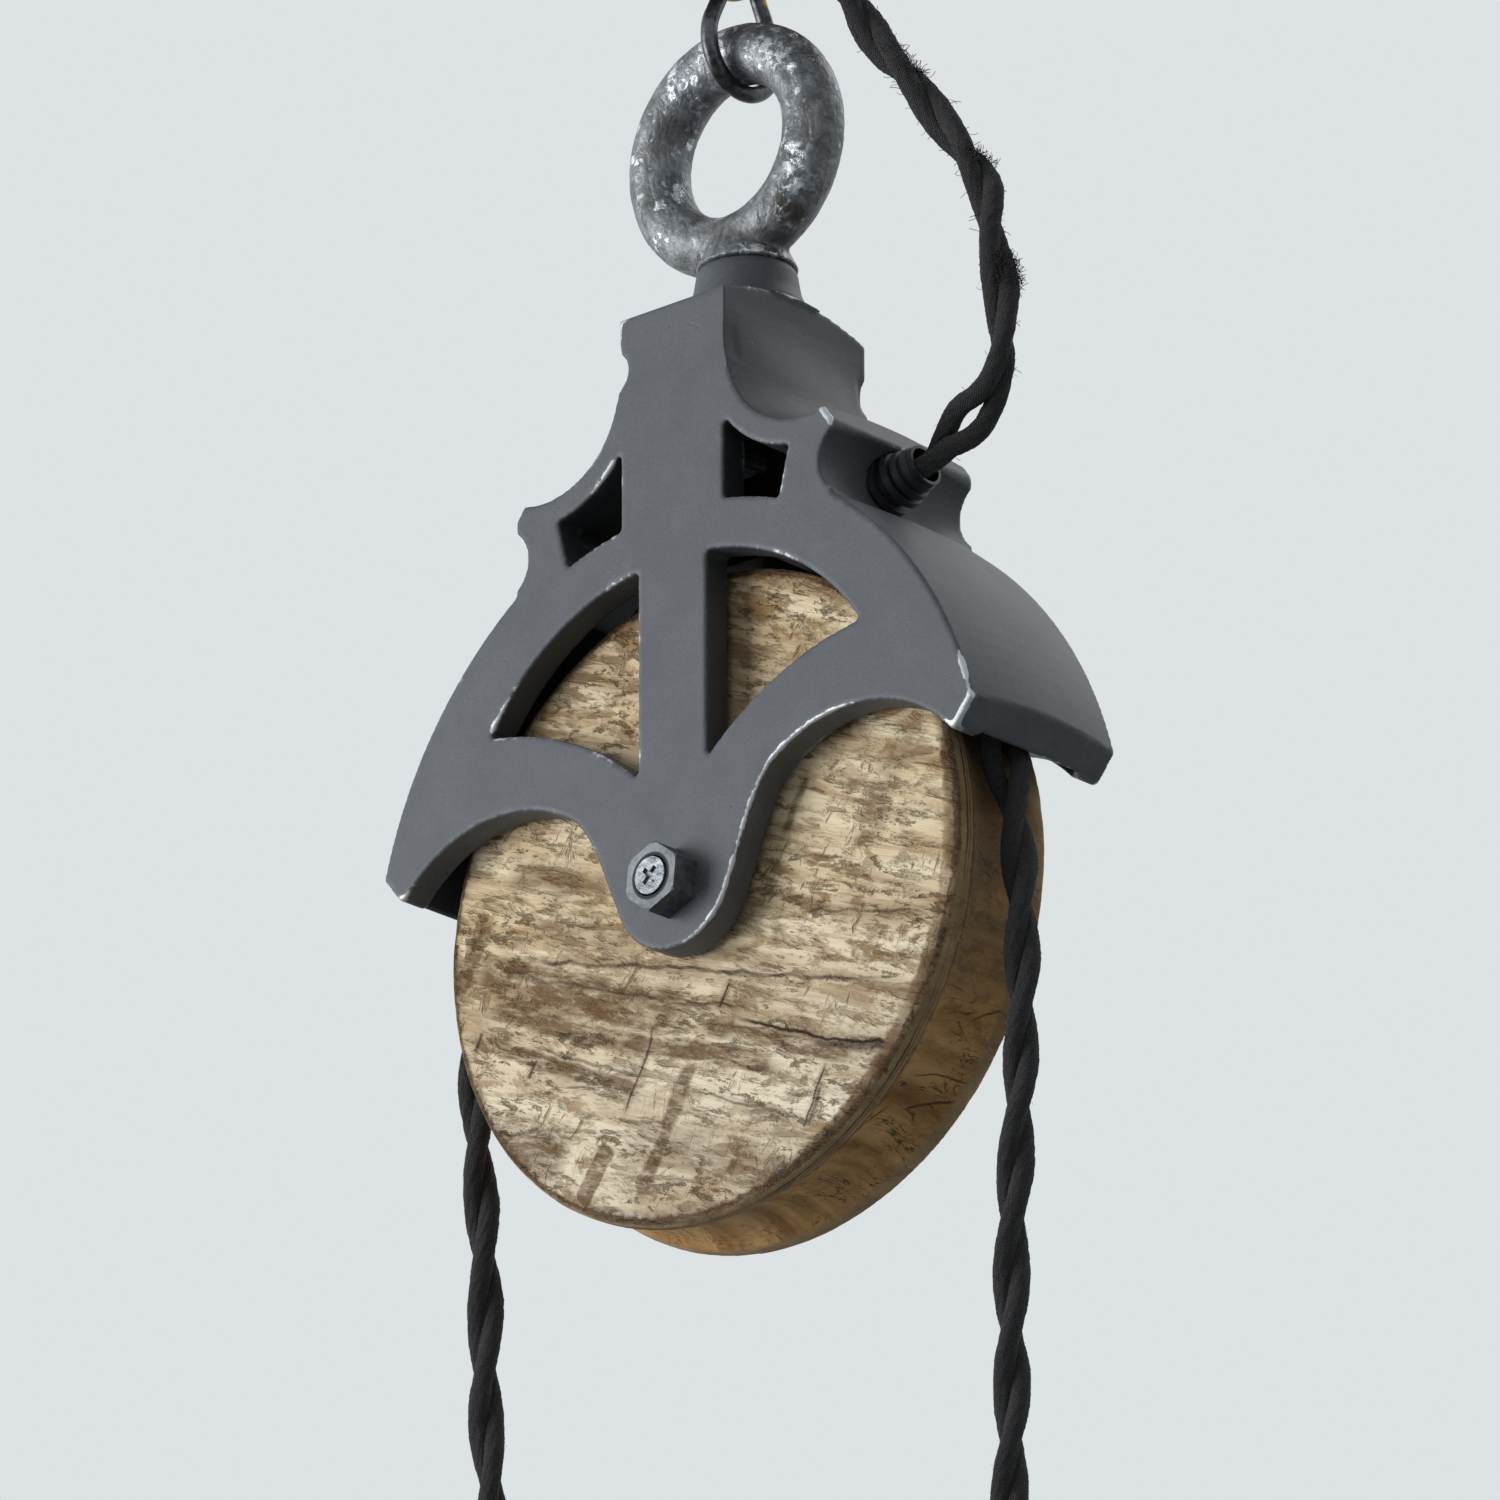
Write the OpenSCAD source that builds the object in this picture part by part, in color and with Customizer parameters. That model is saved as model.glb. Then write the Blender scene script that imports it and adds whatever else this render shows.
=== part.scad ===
// Hanging pulley block of a twisted-flex pendant: a cast hood that carries a wooden sheave,
// an eye bolt on a ring and a ceiling hook, and three cord runs joined inside the hood.
// Everything is laid out from the axle: X across, Y through the depth, Z up.
// The finished part is moved down so that its origin is on the ceiling.

/* [Sheave] */
// Diameter over the flanges of the wooden sheave
wheel_d = 140; // [138:0.5:142]
// Width of the sheave along the axle
wheel_w = 27.5; // [24:0.5:32]
// Width of each flange beside the groove
flange_w = 4; // [2.5:0.5:5]
// Depth of the hollow groove
groove_depth = 3.4; // [2.5:0.1:5]
// Rounding of the flange edges
flange_round = 1.8; // [0.8:0.1:1.9]
// Outside diameter of the bush in the sheave
bush_d = 12; // [11:0.5:15]

/* [Axle] */
// Diameter of the axle bolt
axle_d = 8; // [6:0.5:9]
// Width across flats of the axle nut and bolt head
axle_af = 13; // [12:0.5:16]
// Height of the axle nut
axle_nut_h = 6.5; // [5:0.5:8]
// Height of the bolt head
axle_head_h = 5.3; // [4:0.1:7]
// How far the bolt end stands out of the nut
axle_end = 0.4; // [0.4:0.1:3]
// Diameter of the washers on the axle
axle_washer_d = 17; // [16:0.5:22]
// Thickness of the washer under the bolt head
head_washer_t = 1.6; // [1:0.1:2.5]
// Radial clearance of every shaft in its hole
shaft_fit = 0.06; // [0.03:0.01:0.09]

/* [Frame casting] */
// Thickness of the front and rear cheeks
cheek_t = 7.2; // [6:0.1:9]
// Gap between the sheave and each cheek
side_gap = 1.55; // [1.2:0.05:2.5]
// How far the hood's outer curve lies outside the sheave, in radius
hood_r = 23.9; // [22:0.1:26]
// How far the centre of the hood curve lies beyond the middle
hood_x = 10.3; // [9:0.1:11.5]
// Height of the centre of the hood curve
hood_z = -2.3; // [-4:0.1:0]
// How far the hood bulges between its cheeks
hood_bulge = 1.5; // [0.5:0.1:2.5]
// Height of the lower edge of the hood
hood_low_z = 14.9; // [12:0.1:17]
// Gap between the sheave and the inside of the hood
hood_gap = 8; // [7:0.1:9]
// Half width of the frame over its shoulder ears
ear_x = 43.7; // [42.5:0.1:45]
// Height above the sheave at which the slanted end of the ear starts
ear_low_z = 21.3; // [20:0.1:22]
// Height above the sheave at which the slanted end of the ear stops
ear_top_z = 25.9; // [25:0.1:27]
// Radius of the neck below each ear
neck_r = 8.2; // [7:0.1:9]
// Distance of the neck's centre from the middle
neck_x = 48.7; // [48:0.1:50]
// Height of the neck's centre above the sheave
neck_z = 12.4; // [11:0.1:13.5]
// How far the neck is hollowed between the cheeks
neck_hollow = 1.5; // [0.5:0.1:2]
// Radius of the scoop between crown and ear
scoop_r = 21.2; // [20:0.1:22]
// Distance of the scoop's centre from the middle
scoop_x = 36.3; // [35.5:0.1:37.5]
// Height of the scoop's centre above the sheave
scoop_z = 44.9; // [44:0.1:46]
// How far the scoop's floor arches between the cheeks
scoop_arch = 3; // [1:0.1:4]
// Width of the rim between scoop and cut-out
scoop_rim = 5.5; // [4.5:0.1:6.5]
// Half width of the crown
crown_x = 14.6; // [14:0.1:15.2]
// Height of the crown at the cheeks above the sheave
crown_z = 59; // [58:0.1:61]
// Rise of the crown's dome in the middle
crown_rise = 4; // [2:0.1:5]
// Height of the ceiling of the wiring chamber above the sheave
chamber_z = 40; // [38:0.1:41]
// Half width of the wiring chamber
chamber_x = 35.2; // [34:0.1:35.4]
// Radius of the hanging lobe round the axle
lobe_r = 15.7; // [15:0.1:16.5]
// Height of the lobe's centre above the axle
lobe_z = 1.85; // [1:0.05:3]
// Half width of the leg above the round lobe
flank_x = 21.2; // [20:0.1:22]
// Height of the leg's flank above the round lobe
flank_z = 12; // [11:0.1:14]
// Radius of the arch under each side
arch_r = 36.6; // [35.5:0.1:37.5]
// Distance of the arch's centre from the middle
arch_x = 48; // [47:0.1:49]
// Height of the arch's centre
arch_z = -9.7; // [-10.5:0.1:-9]
// Half width of the leg where it meets the hood
leg_x = 27.4; // [26.5:0.1:28]
// Height at which the leg meets the hood
leg_z = 21; // [20:0.5:23]

/* [Cut-outs] */
// Half width of the middle bar beside the large cut-outs
bar_x = 9.4; // [8:0.1:11]
// Radius of the large cut-out's upper curve
window_top_r = 58; // [56:0.5:59]
// Radius of the large cut-out's lower curve
window_low_r = 72.4; // [71:0.1:74]
// Half width of the middle bar beside the small cut-outs
post_x = 14.1; // [13:0.1:16]
// Distance of the small cut-out's lower edge from the sheave
slot_low_r = 12.7; // [11.5:0.1:14]
// Half width of the frame over the small cut-outs at their foot
slot_low_x = 28.7; // [27:0.1:29.5]
// How much wider the small cut-outs are at the top
slot_flare = 4.3; // [3:0.1:5]

/* [Collar and eye bolt] */
// Height of the collar's top above the sheave
collar_z = 73; // [71:0.1:75]
// Radius of the collar at its top
collar_r = 9.8; // [9:0.1:11]
// Radius of the collar at its foot
collar_foot_r = 13; // [12:0.1:14]
// Inside diameter of the eye
eye_id = 30; // [29:0.1:32]
// Thickness of the eye
eye_wire = 13.2; // [11:0.1:13.2]
// Height of the eye's centre above the collar
eye_rise = 28.5; // [28.2:0.1:31]
// How far the eye stands to the left of its shank
eye_side = 1.6; // [0:0.1:2]
// Diameter of the eye bolt's shank
shank_d = 10; // [8:0.5:10.5]
// Width across flats of the eye bolt's nut
shank_af = 16; // [15:0.5:17]
// Height of the eye bolt's nut
shank_nut_h = 8; // [6:0.5:9]
// Diameter of the washer above the nut
shank_washer_d = 18; // [17:0.5:19]
// Thickness of the washer above the nut
shank_washer_t = 2; // [1.5:0.1:2.5]
// How far the shank stands out of its nut
shank_end = 3; // [1:0.5:4]

/* [Ring and hook] */
// Thickness of the ring's wire
ring_wire = 3.6; // [3.2:0.1:4.2]
// Radius of the ring's round foot, to the middle of its wire
ring_r = 10.4; // [10:0.1:12]
// Radius of the ring's narrow top, to the middle of its wire
ring_top_r = 4.7; // [4.5:0.1:6]
// Height of the ring's narrow top above its round foot
ring_rise = 13; // [11:0.5:16]
// Slack between links that hang in each other
link_gap = 0.1; // [0.05:0.05:0.3]
// Thickness of the hook's wire
hook_wire = 4.5; // [3.5:0.1:5]
// Radius of the hook's bend
hook_r = 8; // [7.5:0.1:10]
// Diameter of the hook's collar
hook_collar_d = 14; // [12:0.5:18]
// Thickness of the hook's collar
hook_collar_t = 1.6; // [1:0.1:2.5]

/* [Ceiling rose] */
// Diameter of the rose
rose_d = 84; // [76:1:100]
// Height of the rose
rose_h = 21; // [20:0.5:30]
// Wall of the rose cover
rose_wall = 1.6; // [1.2:0.1:2]
// Clearance between the ceiling plate and the rose cover
plate_gap = 3.4; // [1:0.1:4]
// Thickness of the ceiling plate
plate_t = 2.5; // [2:0.1:4]
// Distance between the ceiling plate's screw holes
plate_pitch = 50; // [46:1:56]
// Diameter of the ceiling plate's screw holes
plate_hole_d = 4.6; // [4:0.1:6]

/* [Cords] */
// Diameter of the twisted cord
cord_d = 7.6; // [7:0.1:7.8]
// Clearance round a cord in its grommet
cord_fit = 0.2; // [0.1:0.05:0.3]
// Diameter of the grommet's body
grommet_d = 12.4; // [11:0.1:13]
// Length of the grommet outside the hood
grommet_l = 11; // [8:0.5:12]
// Upward tilt of the grommet
grommet_tilt = 14; // [5:1:18]
// Diameter of each cord grip at its foot
grip_d = 18; // [16:0.5:24]
// Height of each cord grip
grip_h = 20; // [18:0.5:26]
// Diameter of the threaded nipple below each grip
nipple_d = 10; // [9:0.5:12]
// How far the nipple stands out of its grip
nipple_out = 9; // [6:0.5:12]
// Width of the groove between nipple and grip
nipple_groove = 1; // [0.8:0.1:1.5]

/* [Terminal block] */
// Gap between the sheave and the terminal block
block_gap = 4; // [2:0.5:5]
// Width of the terminal block
block_w = 25; // [22:0.5:26]
// Height of the terminal block
block_h = 18.5; // [17:0.5:19]
// Depth of the terminal block
block_d = 22; // [18:0.5:24]
// Diameter of the screw that holds the terminal block
block_screw_d = 3; // [2.5:0.1:4]

/* [Hidden] */
$fn = 96;

inner_y = wheel_w / 2 + side_gap;
outer_y = inner_y + cheek_t;
over = 1;
far = 200;

wheel_r = wheel_d / 2;
hood_in_r = wheel_r + hood_gap;
hood_out_r = wheel_r + hood_r;
ear_foot_z = wheel_r + ear_low_z;
ear_tip_z = wheel_r + ear_top_z;
neck_mid_z = wheel_r + neck_z;
scoop_mid_z = wheel_r + scoop_z;
crown_top_z = wheel_r + crown_z;
chamber_top_z = wheel_r + chamber_z;
slot_foot_r = wheel_r + slot_low_r;
collar_top_z = wheel_r + collar_z;
leg_mid = [(leg_x + flank_x) / 2 - 0.3, (leg_z + flank_z) / 2 + 0.2];
axle_hole_d = axle_d + 2 * shaft_fit;
axle_nut_y = outer_y;
side_washer_t = side_gap - 2 * shaft_fit;

window_top_c = [2.2, 13.6];
window_low_c = [59.3, -27.2];

dome_r = (outer_y * outer_y + crown_rise * crown_rise) / (2 * crown_rise);
notch_r = 6.3;
notch_x = crown_x + 5;
notch_z = crown_top_z - 11.5;

eye_r = (eye_id + eye_wire) / 2;
eye_z = collar_top_z + eye_rise;
shank_hole_d = shank_d + 2 * shaft_fit;

ring_lean = asin((ring_r - ring_top_r) / ring_rise);
ring_low_z = eye_z + sqrt(pow(eye_id / 2 - link_gap - ring_wire / 2, 2) - pow(eye_side, 2));
ring_z = ring_low_z + ring_r;
hook_low_z = ring_z + ring_rise + ring_top_r - ring_wire / 2 - link_gap - hook_wire / 2;
hook_c_z = hook_low_z + hook_r;
hook_turn = 75;
hook_tip = 165;
hook_back_r = hook_r * cos(hook_turn) / (1 - cos(hook_turn));
hook_neck_z = hook_c_z + hook_r * sin(hook_turn) + hook_back_r * sin(hook_turn);
hook_thread_d = 5;

rose_low_z = hook_neck_z + 4.6;
ceiling_z = rose_low_z + rose_h;
plate_d = rose_d - 2 * rose_wall - 2 * plate_gap;
plate_boss_d = 13;
plate_boss_h = 7;
hook_nut_h = 3;
rose_floor_z = rose_low_z + rose_wall;
gland_x = 18;
gland_d = 13;
gland_l = 7;
rose_terminal_low_z = rose_low_z + 7;

grommet_x = neck_x - neck_r - neck_hollow + 0.5;
grommet_z = neck_mid_z + 0.6;
grommet_hole_d = grommet_d - 3.2;
grommet_seat_d = grommet_d + 0.6;

block_low_z = wheel_r + block_gap;
block_mid_z = block_low_z + block_h / 2;
block_back_y = inner_y;

grip_cord_l = 11;
grip_screw_d = 3;

// Routes of the cords in the middle plane of the sheave, as [across, up] from the axle.
function on_grommet(t) = [grommet_x + t * cos(grommet_tilt), grommet_z + t * sin(grommet_tilt)];
supply_inside = [[block_w / 2, 87.7], [block_w / 2 + 3, 87.7], [20.5, 86.2], [25.5, 82.8],
    on_grommet(-9.6), on_grommet(-8), on_grommet(0), on_grommet(grommet_l + 1)];
supply_outside = [[57, 90.2], [63, 93.1], [67.8, 97.3], [70.6, 103], [71.3, 109], [71.2, 112],
    [71.1, 115]];
supply_above = [[71.1, 115], [71, 118], [70, 125], [68.6, 133], [67, 142.5], [62.5, 151.4],
    [55.5, 161], [47.5, 173], [38.5, 184], [31.5, 196], [24, 207], [gland_x, 215.5],
    [gland_x, rose_low_z - gland_l - 1], [gland_x, rose_terminal_low_z]];
drop_over = [[block_w / 2, 79], [block_w / 2 + 3, 79], [21, 77.5], [26, 73.2], [30, 69], [34, 64.8],
    [38.3, 61.3], [46.5, 55.4], [53.7, 48.4], [59.9, 40.4], [65, 31.7], [68.8, 22.3], [71.2, 12.6],
    [73, 3]];
drop_right = [[74, -9], [74.5, -24], [74.2, -40], [73.2, -56], [71.9, -72], [70.8, -88], [70.5, -105],
    [70.3, -122], [69.6, -137], [69.3, -152], [69.3, -165]];
drop_left = [[74.6, -9], [75, -22], [74.2, -36], [73.2, -50], [72.2, -63], [72.1, -80], [71.7, -95],
    [70.3, -108], [69.7, -116], [69.7, -128]];

iron = "#5d6268";
zinc = "#8f9396";
brass = "#b08d4a";
wood = "#b79b73";
black = "#1c1d20";

// ---- helpers ----

// A flat outline drawn in X and Z, given depth from y0 to y1.
module prism(y0, y1) {
    translate([0, y1, 0]) rotate([90, 0, 0]) linear_extrude(y1 - y0) children();
}

// A profile of radius and depth, turned about an axis along Y.
module turned(x, z) {
    translate([x, 0, z]) rotate([-90, 0, 0]) rotate_extrude() children();
}

// A round bar or hole along Y.
module bar(d, y0, y1) {
    translate([0, y0, 0]) rotate([-90, 0, 0]) cylinder(d = d, h = y1 - y0);
}

// Radius of the shallow arc that rises by rise over the frame's depth.
function rise_r(rise) = (outer_y * outer_y + rise * rise) / (2 * rise);

// A drum about an axis along Y whose side bulges in the middle of the depth.
module bulged_drum(r, rise, x, z) {
    turned(x, z) intersection() {
        translate([r + rise - rise_r(rise), 0]) circle(r = rise_r(rise), $fn = 180);
        translate([0, -outer_y]) square([r + rise + over, 2 * outer_y]);
    }
}

// A drum about an axis along Y whose side is drawn in at the middle of the depth.
module waisted_drum(r, rise, x, z) {
    turned(x, z) difference() {
        translate([0, -outer_y - over]) square([r, 2 * (outer_y + over)]);
        translate([r - rise + rise_r(rise), 0]) circle(r = rise_r(rise), $fn = 180);
    }
}

module both_sides() {
    children();
    mirror([1, 0, 0]) children();
}

// A hexagon with chamfered corners that stands on z = 0.
module hexagon(af, h, chamfer_low = true) {
    corner_r = af / 2 / cos(30);
    lip = corner_r - af / 2;
    intersection() {
        cylinder(r = corner_r, h = h, $fn = 6);
        rotate_extrude() polygon([
            [0, 0],
            [chamfer_low ? af / 2 : corner_r + over, 0],
            [corner_r + over, chamfer_low ? (lip + over) * 0.58 : 0],
            [corner_r + over, h - (0.5 * lip + over) * 0.58],
            [af / 2 + 0.5 * lip, h],
            [0, h]]);
    }
}

function unit(v) = v / norm(v);
function heading(p, i) = unit(p[min(i + 1, len(p) - 1)] - p[max(i - 1, 0)]);

// A plain round tube along a route in the middle plane, with flat ends.
module cord(route, sides = 10) {
    n = len(route);
    r = cord_d / 2;
    points = [for (i = [0 : n - 1]) let (h = heading(route, i)) for (k = [0 : sides - 1])
        let (a = 360 * k / sides)
            [route[i][0] - h[1] * r * cos(a), r * sin(a), route[i][1] + h[0] * r * cos(a)]];
    walls = [for (i = [0 : n - 2]) for (k = [0 : sides - 1]) let (j = (k + 1) % sides)
        [i * sides + k, i * sides + j, (i + 1) * sides + j, (i + 1) * sides + k]];
    first = [for (k = [sides - 1 : -1 : 0]) k];
    last = [for (k = [0 : sides - 1]) (n - 1) * sides + k];
    polyhedron(points, concat([first], walls, [last]));
}

// ---- frame ----

module hood_side() {
    difference() {
        intersection() {
            bulged_drum(hood_out_r, hood_bulge, -hood_x, hood_z);
            prism(-outer_y, outer_y) translate([0, hood_low_z]) square([hood_out_r, hood_out_r]);
        }
        prism(-far, far) translate([arch_x, arch_z]) circle(arch_r);
    }
}

module head() {
    intersection() {
        prism(-outer_y, outer_y) polygon([
            [-ear_x, hood_out_r * 0.7], [ear_x, hood_out_r * 0.7], [ear_x, ear_tip_z + 4],
            [ear_x - 11.7, ear_tip_z + 4], [crown_x, scoop_mid_z + 2], [crown_x, crown_top_z + crown_rise],
            [-crown_x, crown_top_z + crown_rise], [-crown_x, scoop_mid_z + 2],
            [11.7 - ear_x, ear_tip_z + 4], [-ear_x, ear_tip_z + 4]]);
        translate([-ear_x - over, 0, crown_top_z + crown_rise - dome_r])
            rotate([0, 90, 0]) cylinder(r = dome_r, h = 2 * (ear_x + over), $fn = 180);
    }
}

module collar() {
    foot_z = crown_top_z;
    brow_z = crown_top_z + crown_rise;
    rotate_extrude() polygon([
        [0, foot_z], [collar_foot_r, foot_z], [collar_foot_r, brow_z - 1],
        [collar_r + 1.7, brow_z + 1.5], [collar_r + 0.7, brow_z + 4],
        [collar_r, collar_top_z - 1.4], [collar_r - 0.6, collar_top_z], [0, collar_top_z]]);
}

module side_cuts() {
    waisted_drum(scoop_r, scoop_arch, scoop_x, scoop_mid_z);
    bulged_neck();
    prism(-far, far) translate([notch_x, notch_z]) circle(notch_r);
    ear_slope = (ear_x - ear_low_x()) / (ear_tip_z - ear_foot_z);
    prism(-far, far) polygon([
        [ear_x + 2 * ear_slope, ear_foot_z - 2], [ear_low_x() - 5 * ear_slope, ear_tip_z + 5],
        [ear_x + 9, ear_tip_z + 5], [ear_x + 9, ear_foot_z - 2]]);
    prism(-far, far) polygon([
        [tip_x() - 6, hood_low_z - 2], [tip_x() + 3.2, hood_low_z + 9.7],
        [tip_x() + 20, hood_low_z + 9.7], [tip_x() + 20, hood_low_z - 2]]);
}

function ear_low_x() = ear_x - 3.3;
function tip_x() = -hood_x + sqrt(hood_out_r * hood_out_r - pow(hood_low_z + 5.7 - hood_z, 2));

module bulged_neck() {
    bulged_drum(neck_r, neck_hollow, neck_x, neck_mid_z);
}

// The space between the cheeks that holds the sheave, the cords and the terminal block.
module chamber() {
    prism(-inner_y, inner_y) {
        circle(hood_in_r, $fn = 180);
        difference() {
            translate([-chamber_x, wheel_r * 0.7]) square([2 * chamber_x, chamber_top_z - wheel_r * 0.7]);
            for (s = [-1, 1]) translate([s * scoop_x, scoop_mid_z]) circle(scoop_r + scoop_rim);
        }
    }
}

module windows() {
    prism(-far, far) for (s = [0, 1]) mirror([s, 0]) {
        difference() {
            intersection() {
                translate([bar_x, 0]) square([hood_out_r, hood_out_r]);
                translate(window_top_c) circle(window_top_r);
            }
            translate(window_low_c) circle(window_low_r);
        }
        difference() {
            polygon([[post_x, slot_foot_r - 10], [slot_low_x, slot_foot_r - 8],
                [slot_low_x + slot_flare, slot_foot_r + 10], [post_x, slot_foot_r + 25]]);
            circle(slot_foot_r);
            translate([scoop_x, scoop_mid_z]) circle(scoop_r + scoop_rim);
        }
    }
}

module at_grommet() {
    translate([grommet_x, 0, grommet_z]) rotate([0, 90 - grommet_tilt, 0]) children();
}

module frame_casting() {
    color(iron) difference() {
        union() {
            difference() {
                union() {
                    both_sides() hood_side();
                    head();
                }
                both_sides() side_cuts();
            }
            collar();
            prism(-outer_y, outer_y) {
                for (s = [0, 1]) mirror([s, 0]) polygon([[leg_x, leg_z], leg_mid, [flank_x, flank_z],
                    [lobe_r * cos(20), lobe_z - lobe_r * sin(20)], [-1, lobe_z], [-1, leg_z]]);
                translate([0, lobe_z]) circle(lobe_r);
            }
        }
        chamber();
        windows();
        bar(axle_hole_d, -outer_y - over, outer_y + over);
        translate([0, 0, chamber_top_z - over])
            cylinder(d = shank_hole_d, h = collar_top_z - chamber_top_z + 2 * over);
        at_grommet() {
            cylinder(d = grommet_seat_d, h = grommet_l);
            translate([0, 0, -9]) cylinder(d = grommet_hole_d + 2 * shaft_fit, h = 10);
        }
        translate([0, inner_y - over, block_mid_z]) rotate([-90, 0, 0])
            cylinder(d = block_screw_d + 2 * shaft_fit, h = cheek_t + 2 * over);
    }
}

// ---- hanging gear ----

module eye_bolt() {
    shank_low_z = chamber_top_z - shank_washer_t - shank_nut_h - shank_end;
    color(zinc) {
        translate([-eye_side, 0, eye_z]) rotate([90, 0, 0]) rotate_extrude()
            translate([eye_r, 0]) circle(d = eye_wire);
        translate([0, 0, collar_top_z])
            cylinder(r1 = collar_r - 1, r2 = eye_wire / 2 - 0.4, h = eye_rise - eye_r);
        translate([0, 0, shank_low_z]) cylinder(d = shank_d, h = collar_top_z + over - shank_low_z);
    }
}

module eye_washer() {
    color(zinc) translate([0, 0, chamber_top_z - shank_washer_t]) difference() {
        cylinder(d = shank_washer_d, h = shank_washer_t);
        translate([0, 0, -over]) cylinder(d = shank_hole_d, h = shank_washer_t + 2 * over);
    }
}

module eye_nut() {
    color(zinc) translate([0, 0, chamber_top_z - shank_washer_t - shank_nut_h]) difference() {
        rotate([0, 0, 30]) hexagon(shank_af, shank_nut_h);
        translate([0, 0, -over]) cylinder(d = shank_hole_d, h = shank_nut_h + 2 * over);
    }
}

module ring_link() {
    color(zinc) translate([0, 0, ring_z]) rotate([90, 0, 90]) {
        rotate([0, 0, 180 - ring_lean]) rotate_extrude(angle = 180 + 2 * ring_lean)
            translate([ring_r, 0]) circle(d = ring_wire);
        translate([0, ring_rise, 0]) rotate([0, 0, ring_lean]) rotate_extrude(angle = 180 - 2 * ring_lean)
            translate([ring_top_r, 0]) circle(d = ring_wire);
        for (s = [0, 1]) mirror([s, 0, 0])
            translate([ring_r * cos(ring_lean), ring_r * sin(ring_lean), 0]) rotate([0, 0, ring_lean])
                translate([0, -0.4, 0]) rotate([-90, 0, 0])
                    cylinder(d = ring_wire - 0.08, h = ring_rise * cos(ring_lean) + 0.8);
    }
}

module ceiling_hook() {
    color(brass) {
        translate([0, 0, hook_c_z]) rotate([90, 0, 0]) rotate([0, 0, hook_tip])
            rotate_extrude(angle = 360 + hook_turn - hook_tip) translate([hook_r, 0]) circle(d = hook_wire);
        translate([hook_back_r, 0, hook_neck_z]) rotate([90, 0, 0]) rotate([0, 0, 180])
            rotate_extrude(angle = hook_turn) translate([hook_back_r, 0]) circle(d = hook_wire);
        translate([hook_r * cos(hook_tip), 0, hook_c_z + hook_r * sin(hook_tip)]) sphere(d = hook_wire + 1);
        translate([0, 0, hook_neck_z]) cylinder(d = hook_wire, h = rose_low_z - hook_neck_z);
        translate([0, 0, rose_low_z - hook_collar_t]) cylinder(d = hook_collar_d, h = hook_collar_t);
        translate([0, 0, rose_low_z - over / 2])
            cylinder(d = hook_thread_d, h = rose_h - plate_t - 1 + over / 2);
    }
}

module hook_nut() {
    color(brass) translate([0, 0, ceiling_z - plate_t - plate_boss_h - hook_nut_h]) difference() {
        hexagon(9, hook_nut_h);
        translate([0, 0, -over]) cylinder(d = hook_thread_d + 2 * shaft_fit, h = hook_nut_h + 2 * over);
    }
}

module ceiling_plate() {
    color(zinc) translate([0, 0, ceiling_z]) difference() {
        union() {
            translate([0, 0, -plate_t]) cylinder(d = plate_d, h = plate_t);
            translate([0, 0, -plate_t - plate_boss_h]) cylinder(d = plate_boss_d, h = plate_boss_h + over);
        }
        for (s = [-1, 1]) translate([s * plate_pitch / 2, 0, -plate_t - over])
            cylinder(d = plate_hole_d, h = plate_t + 2 * over);
        translate([0, 0, -plate_t - plate_boss_h - over])
            cylinder(d = hook_thread_d + 2 * shaft_fit, h = plate_boss_h + over + 1.5);
    }
}

module rose_cover() {
    edge = 5;
    color(black) translate([0, 0, rose_low_z]) difference() {
        rotate_extrude() difference() {
            union() {
                square([rose_d / 2 - edge, rose_h]);
                translate([0, edge]) square([rose_d / 2, rose_h - edge]);
                translate([rose_d / 2 - edge, edge]) circle(edge);
            }
            translate([0, rose_wall]) square([rose_d / 2 - edge, rose_h]);
            translate([0, edge]) square([rose_d / 2 - rose_wall, rose_h]);
            translate([rose_d / 2 - edge, edge]) circle(edge - rose_wall);
        }
        translate([0, 0, -over]) cylinder(d = hook_thread_d + 2 * shaft_fit, h = rose_wall + 2 * over);
        translate([gland_x, 0, -over]) cylinder(d = gland_d - 3 + 2 * shaft_fit, h = rose_wall + 2 * over);
    }
}

module rose_gland() {
    color(black) translate([gland_x, 0, rose_low_z]) difference() {
        union() {
            translate([0, 0, -gland_l]) cylinder(d1 = gland_d - 2.5, d2 = gland_d, h = gland_l);
            translate([0, 0, -over]) cylinder(d = gland_d - 3, h = rose_wall + 3 + over);
        }
        translate([0, 0, -gland_l - over]) cylinder(d = cord_d + cord_fit, h = gland_l + rose_wall + 6);
    }
}

module rose_terminal() {
    color("white") translate([gland_x - 6, -7, rose_terminal_low_z])
        cube([14, 14, ceiling_z - plate_t - rose_terminal_low_z]);
}

// ---- sheave and axle ----

module sheave() {
    groove_half = wheel_w / 2 - flange_w;
    groove_r = (groove_half * groove_half + groove_depth * groove_depth) / (2 * groove_depth);
    color(wood) turned(0, 0) difference() {
        translate([bush_d / 2 + shaft_fit, -wheel_w / 2])
            square([wheel_r - flange_round - bush_d / 2 - shaft_fit, wheel_w]);
        translate([wheel_r - groove_depth + groove_r, 0]) circle(groove_r);
    }
    color(wood) turned(0, 0) difference() {
        union() {
            for (s = [-1, 1]) translate([wheel_r - flange_round, s * (wheel_w / 2 - flange_round)])
                circle(flange_round);
            translate([wheel_r - 2 * flange_round, flange_round - wheel_w / 2])
                square([2 * flange_round, wheel_w - 2 * flange_round]);
            translate([wheel_r - 2 * flange_round, -wheel_w / 2]) square([flange_round, wheel_w]);
        }
        translate([wheel_r - groove_depth + groove_r, 0]) circle(groove_r);
    }
}

module sheave_bush() {
    color(brass) difference() {
        bar(bush_d, -wheel_w / 2, wheel_w / 2);
        bar(axle_hole_d, -wheel_w, wheel_w);
    }
}

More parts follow.
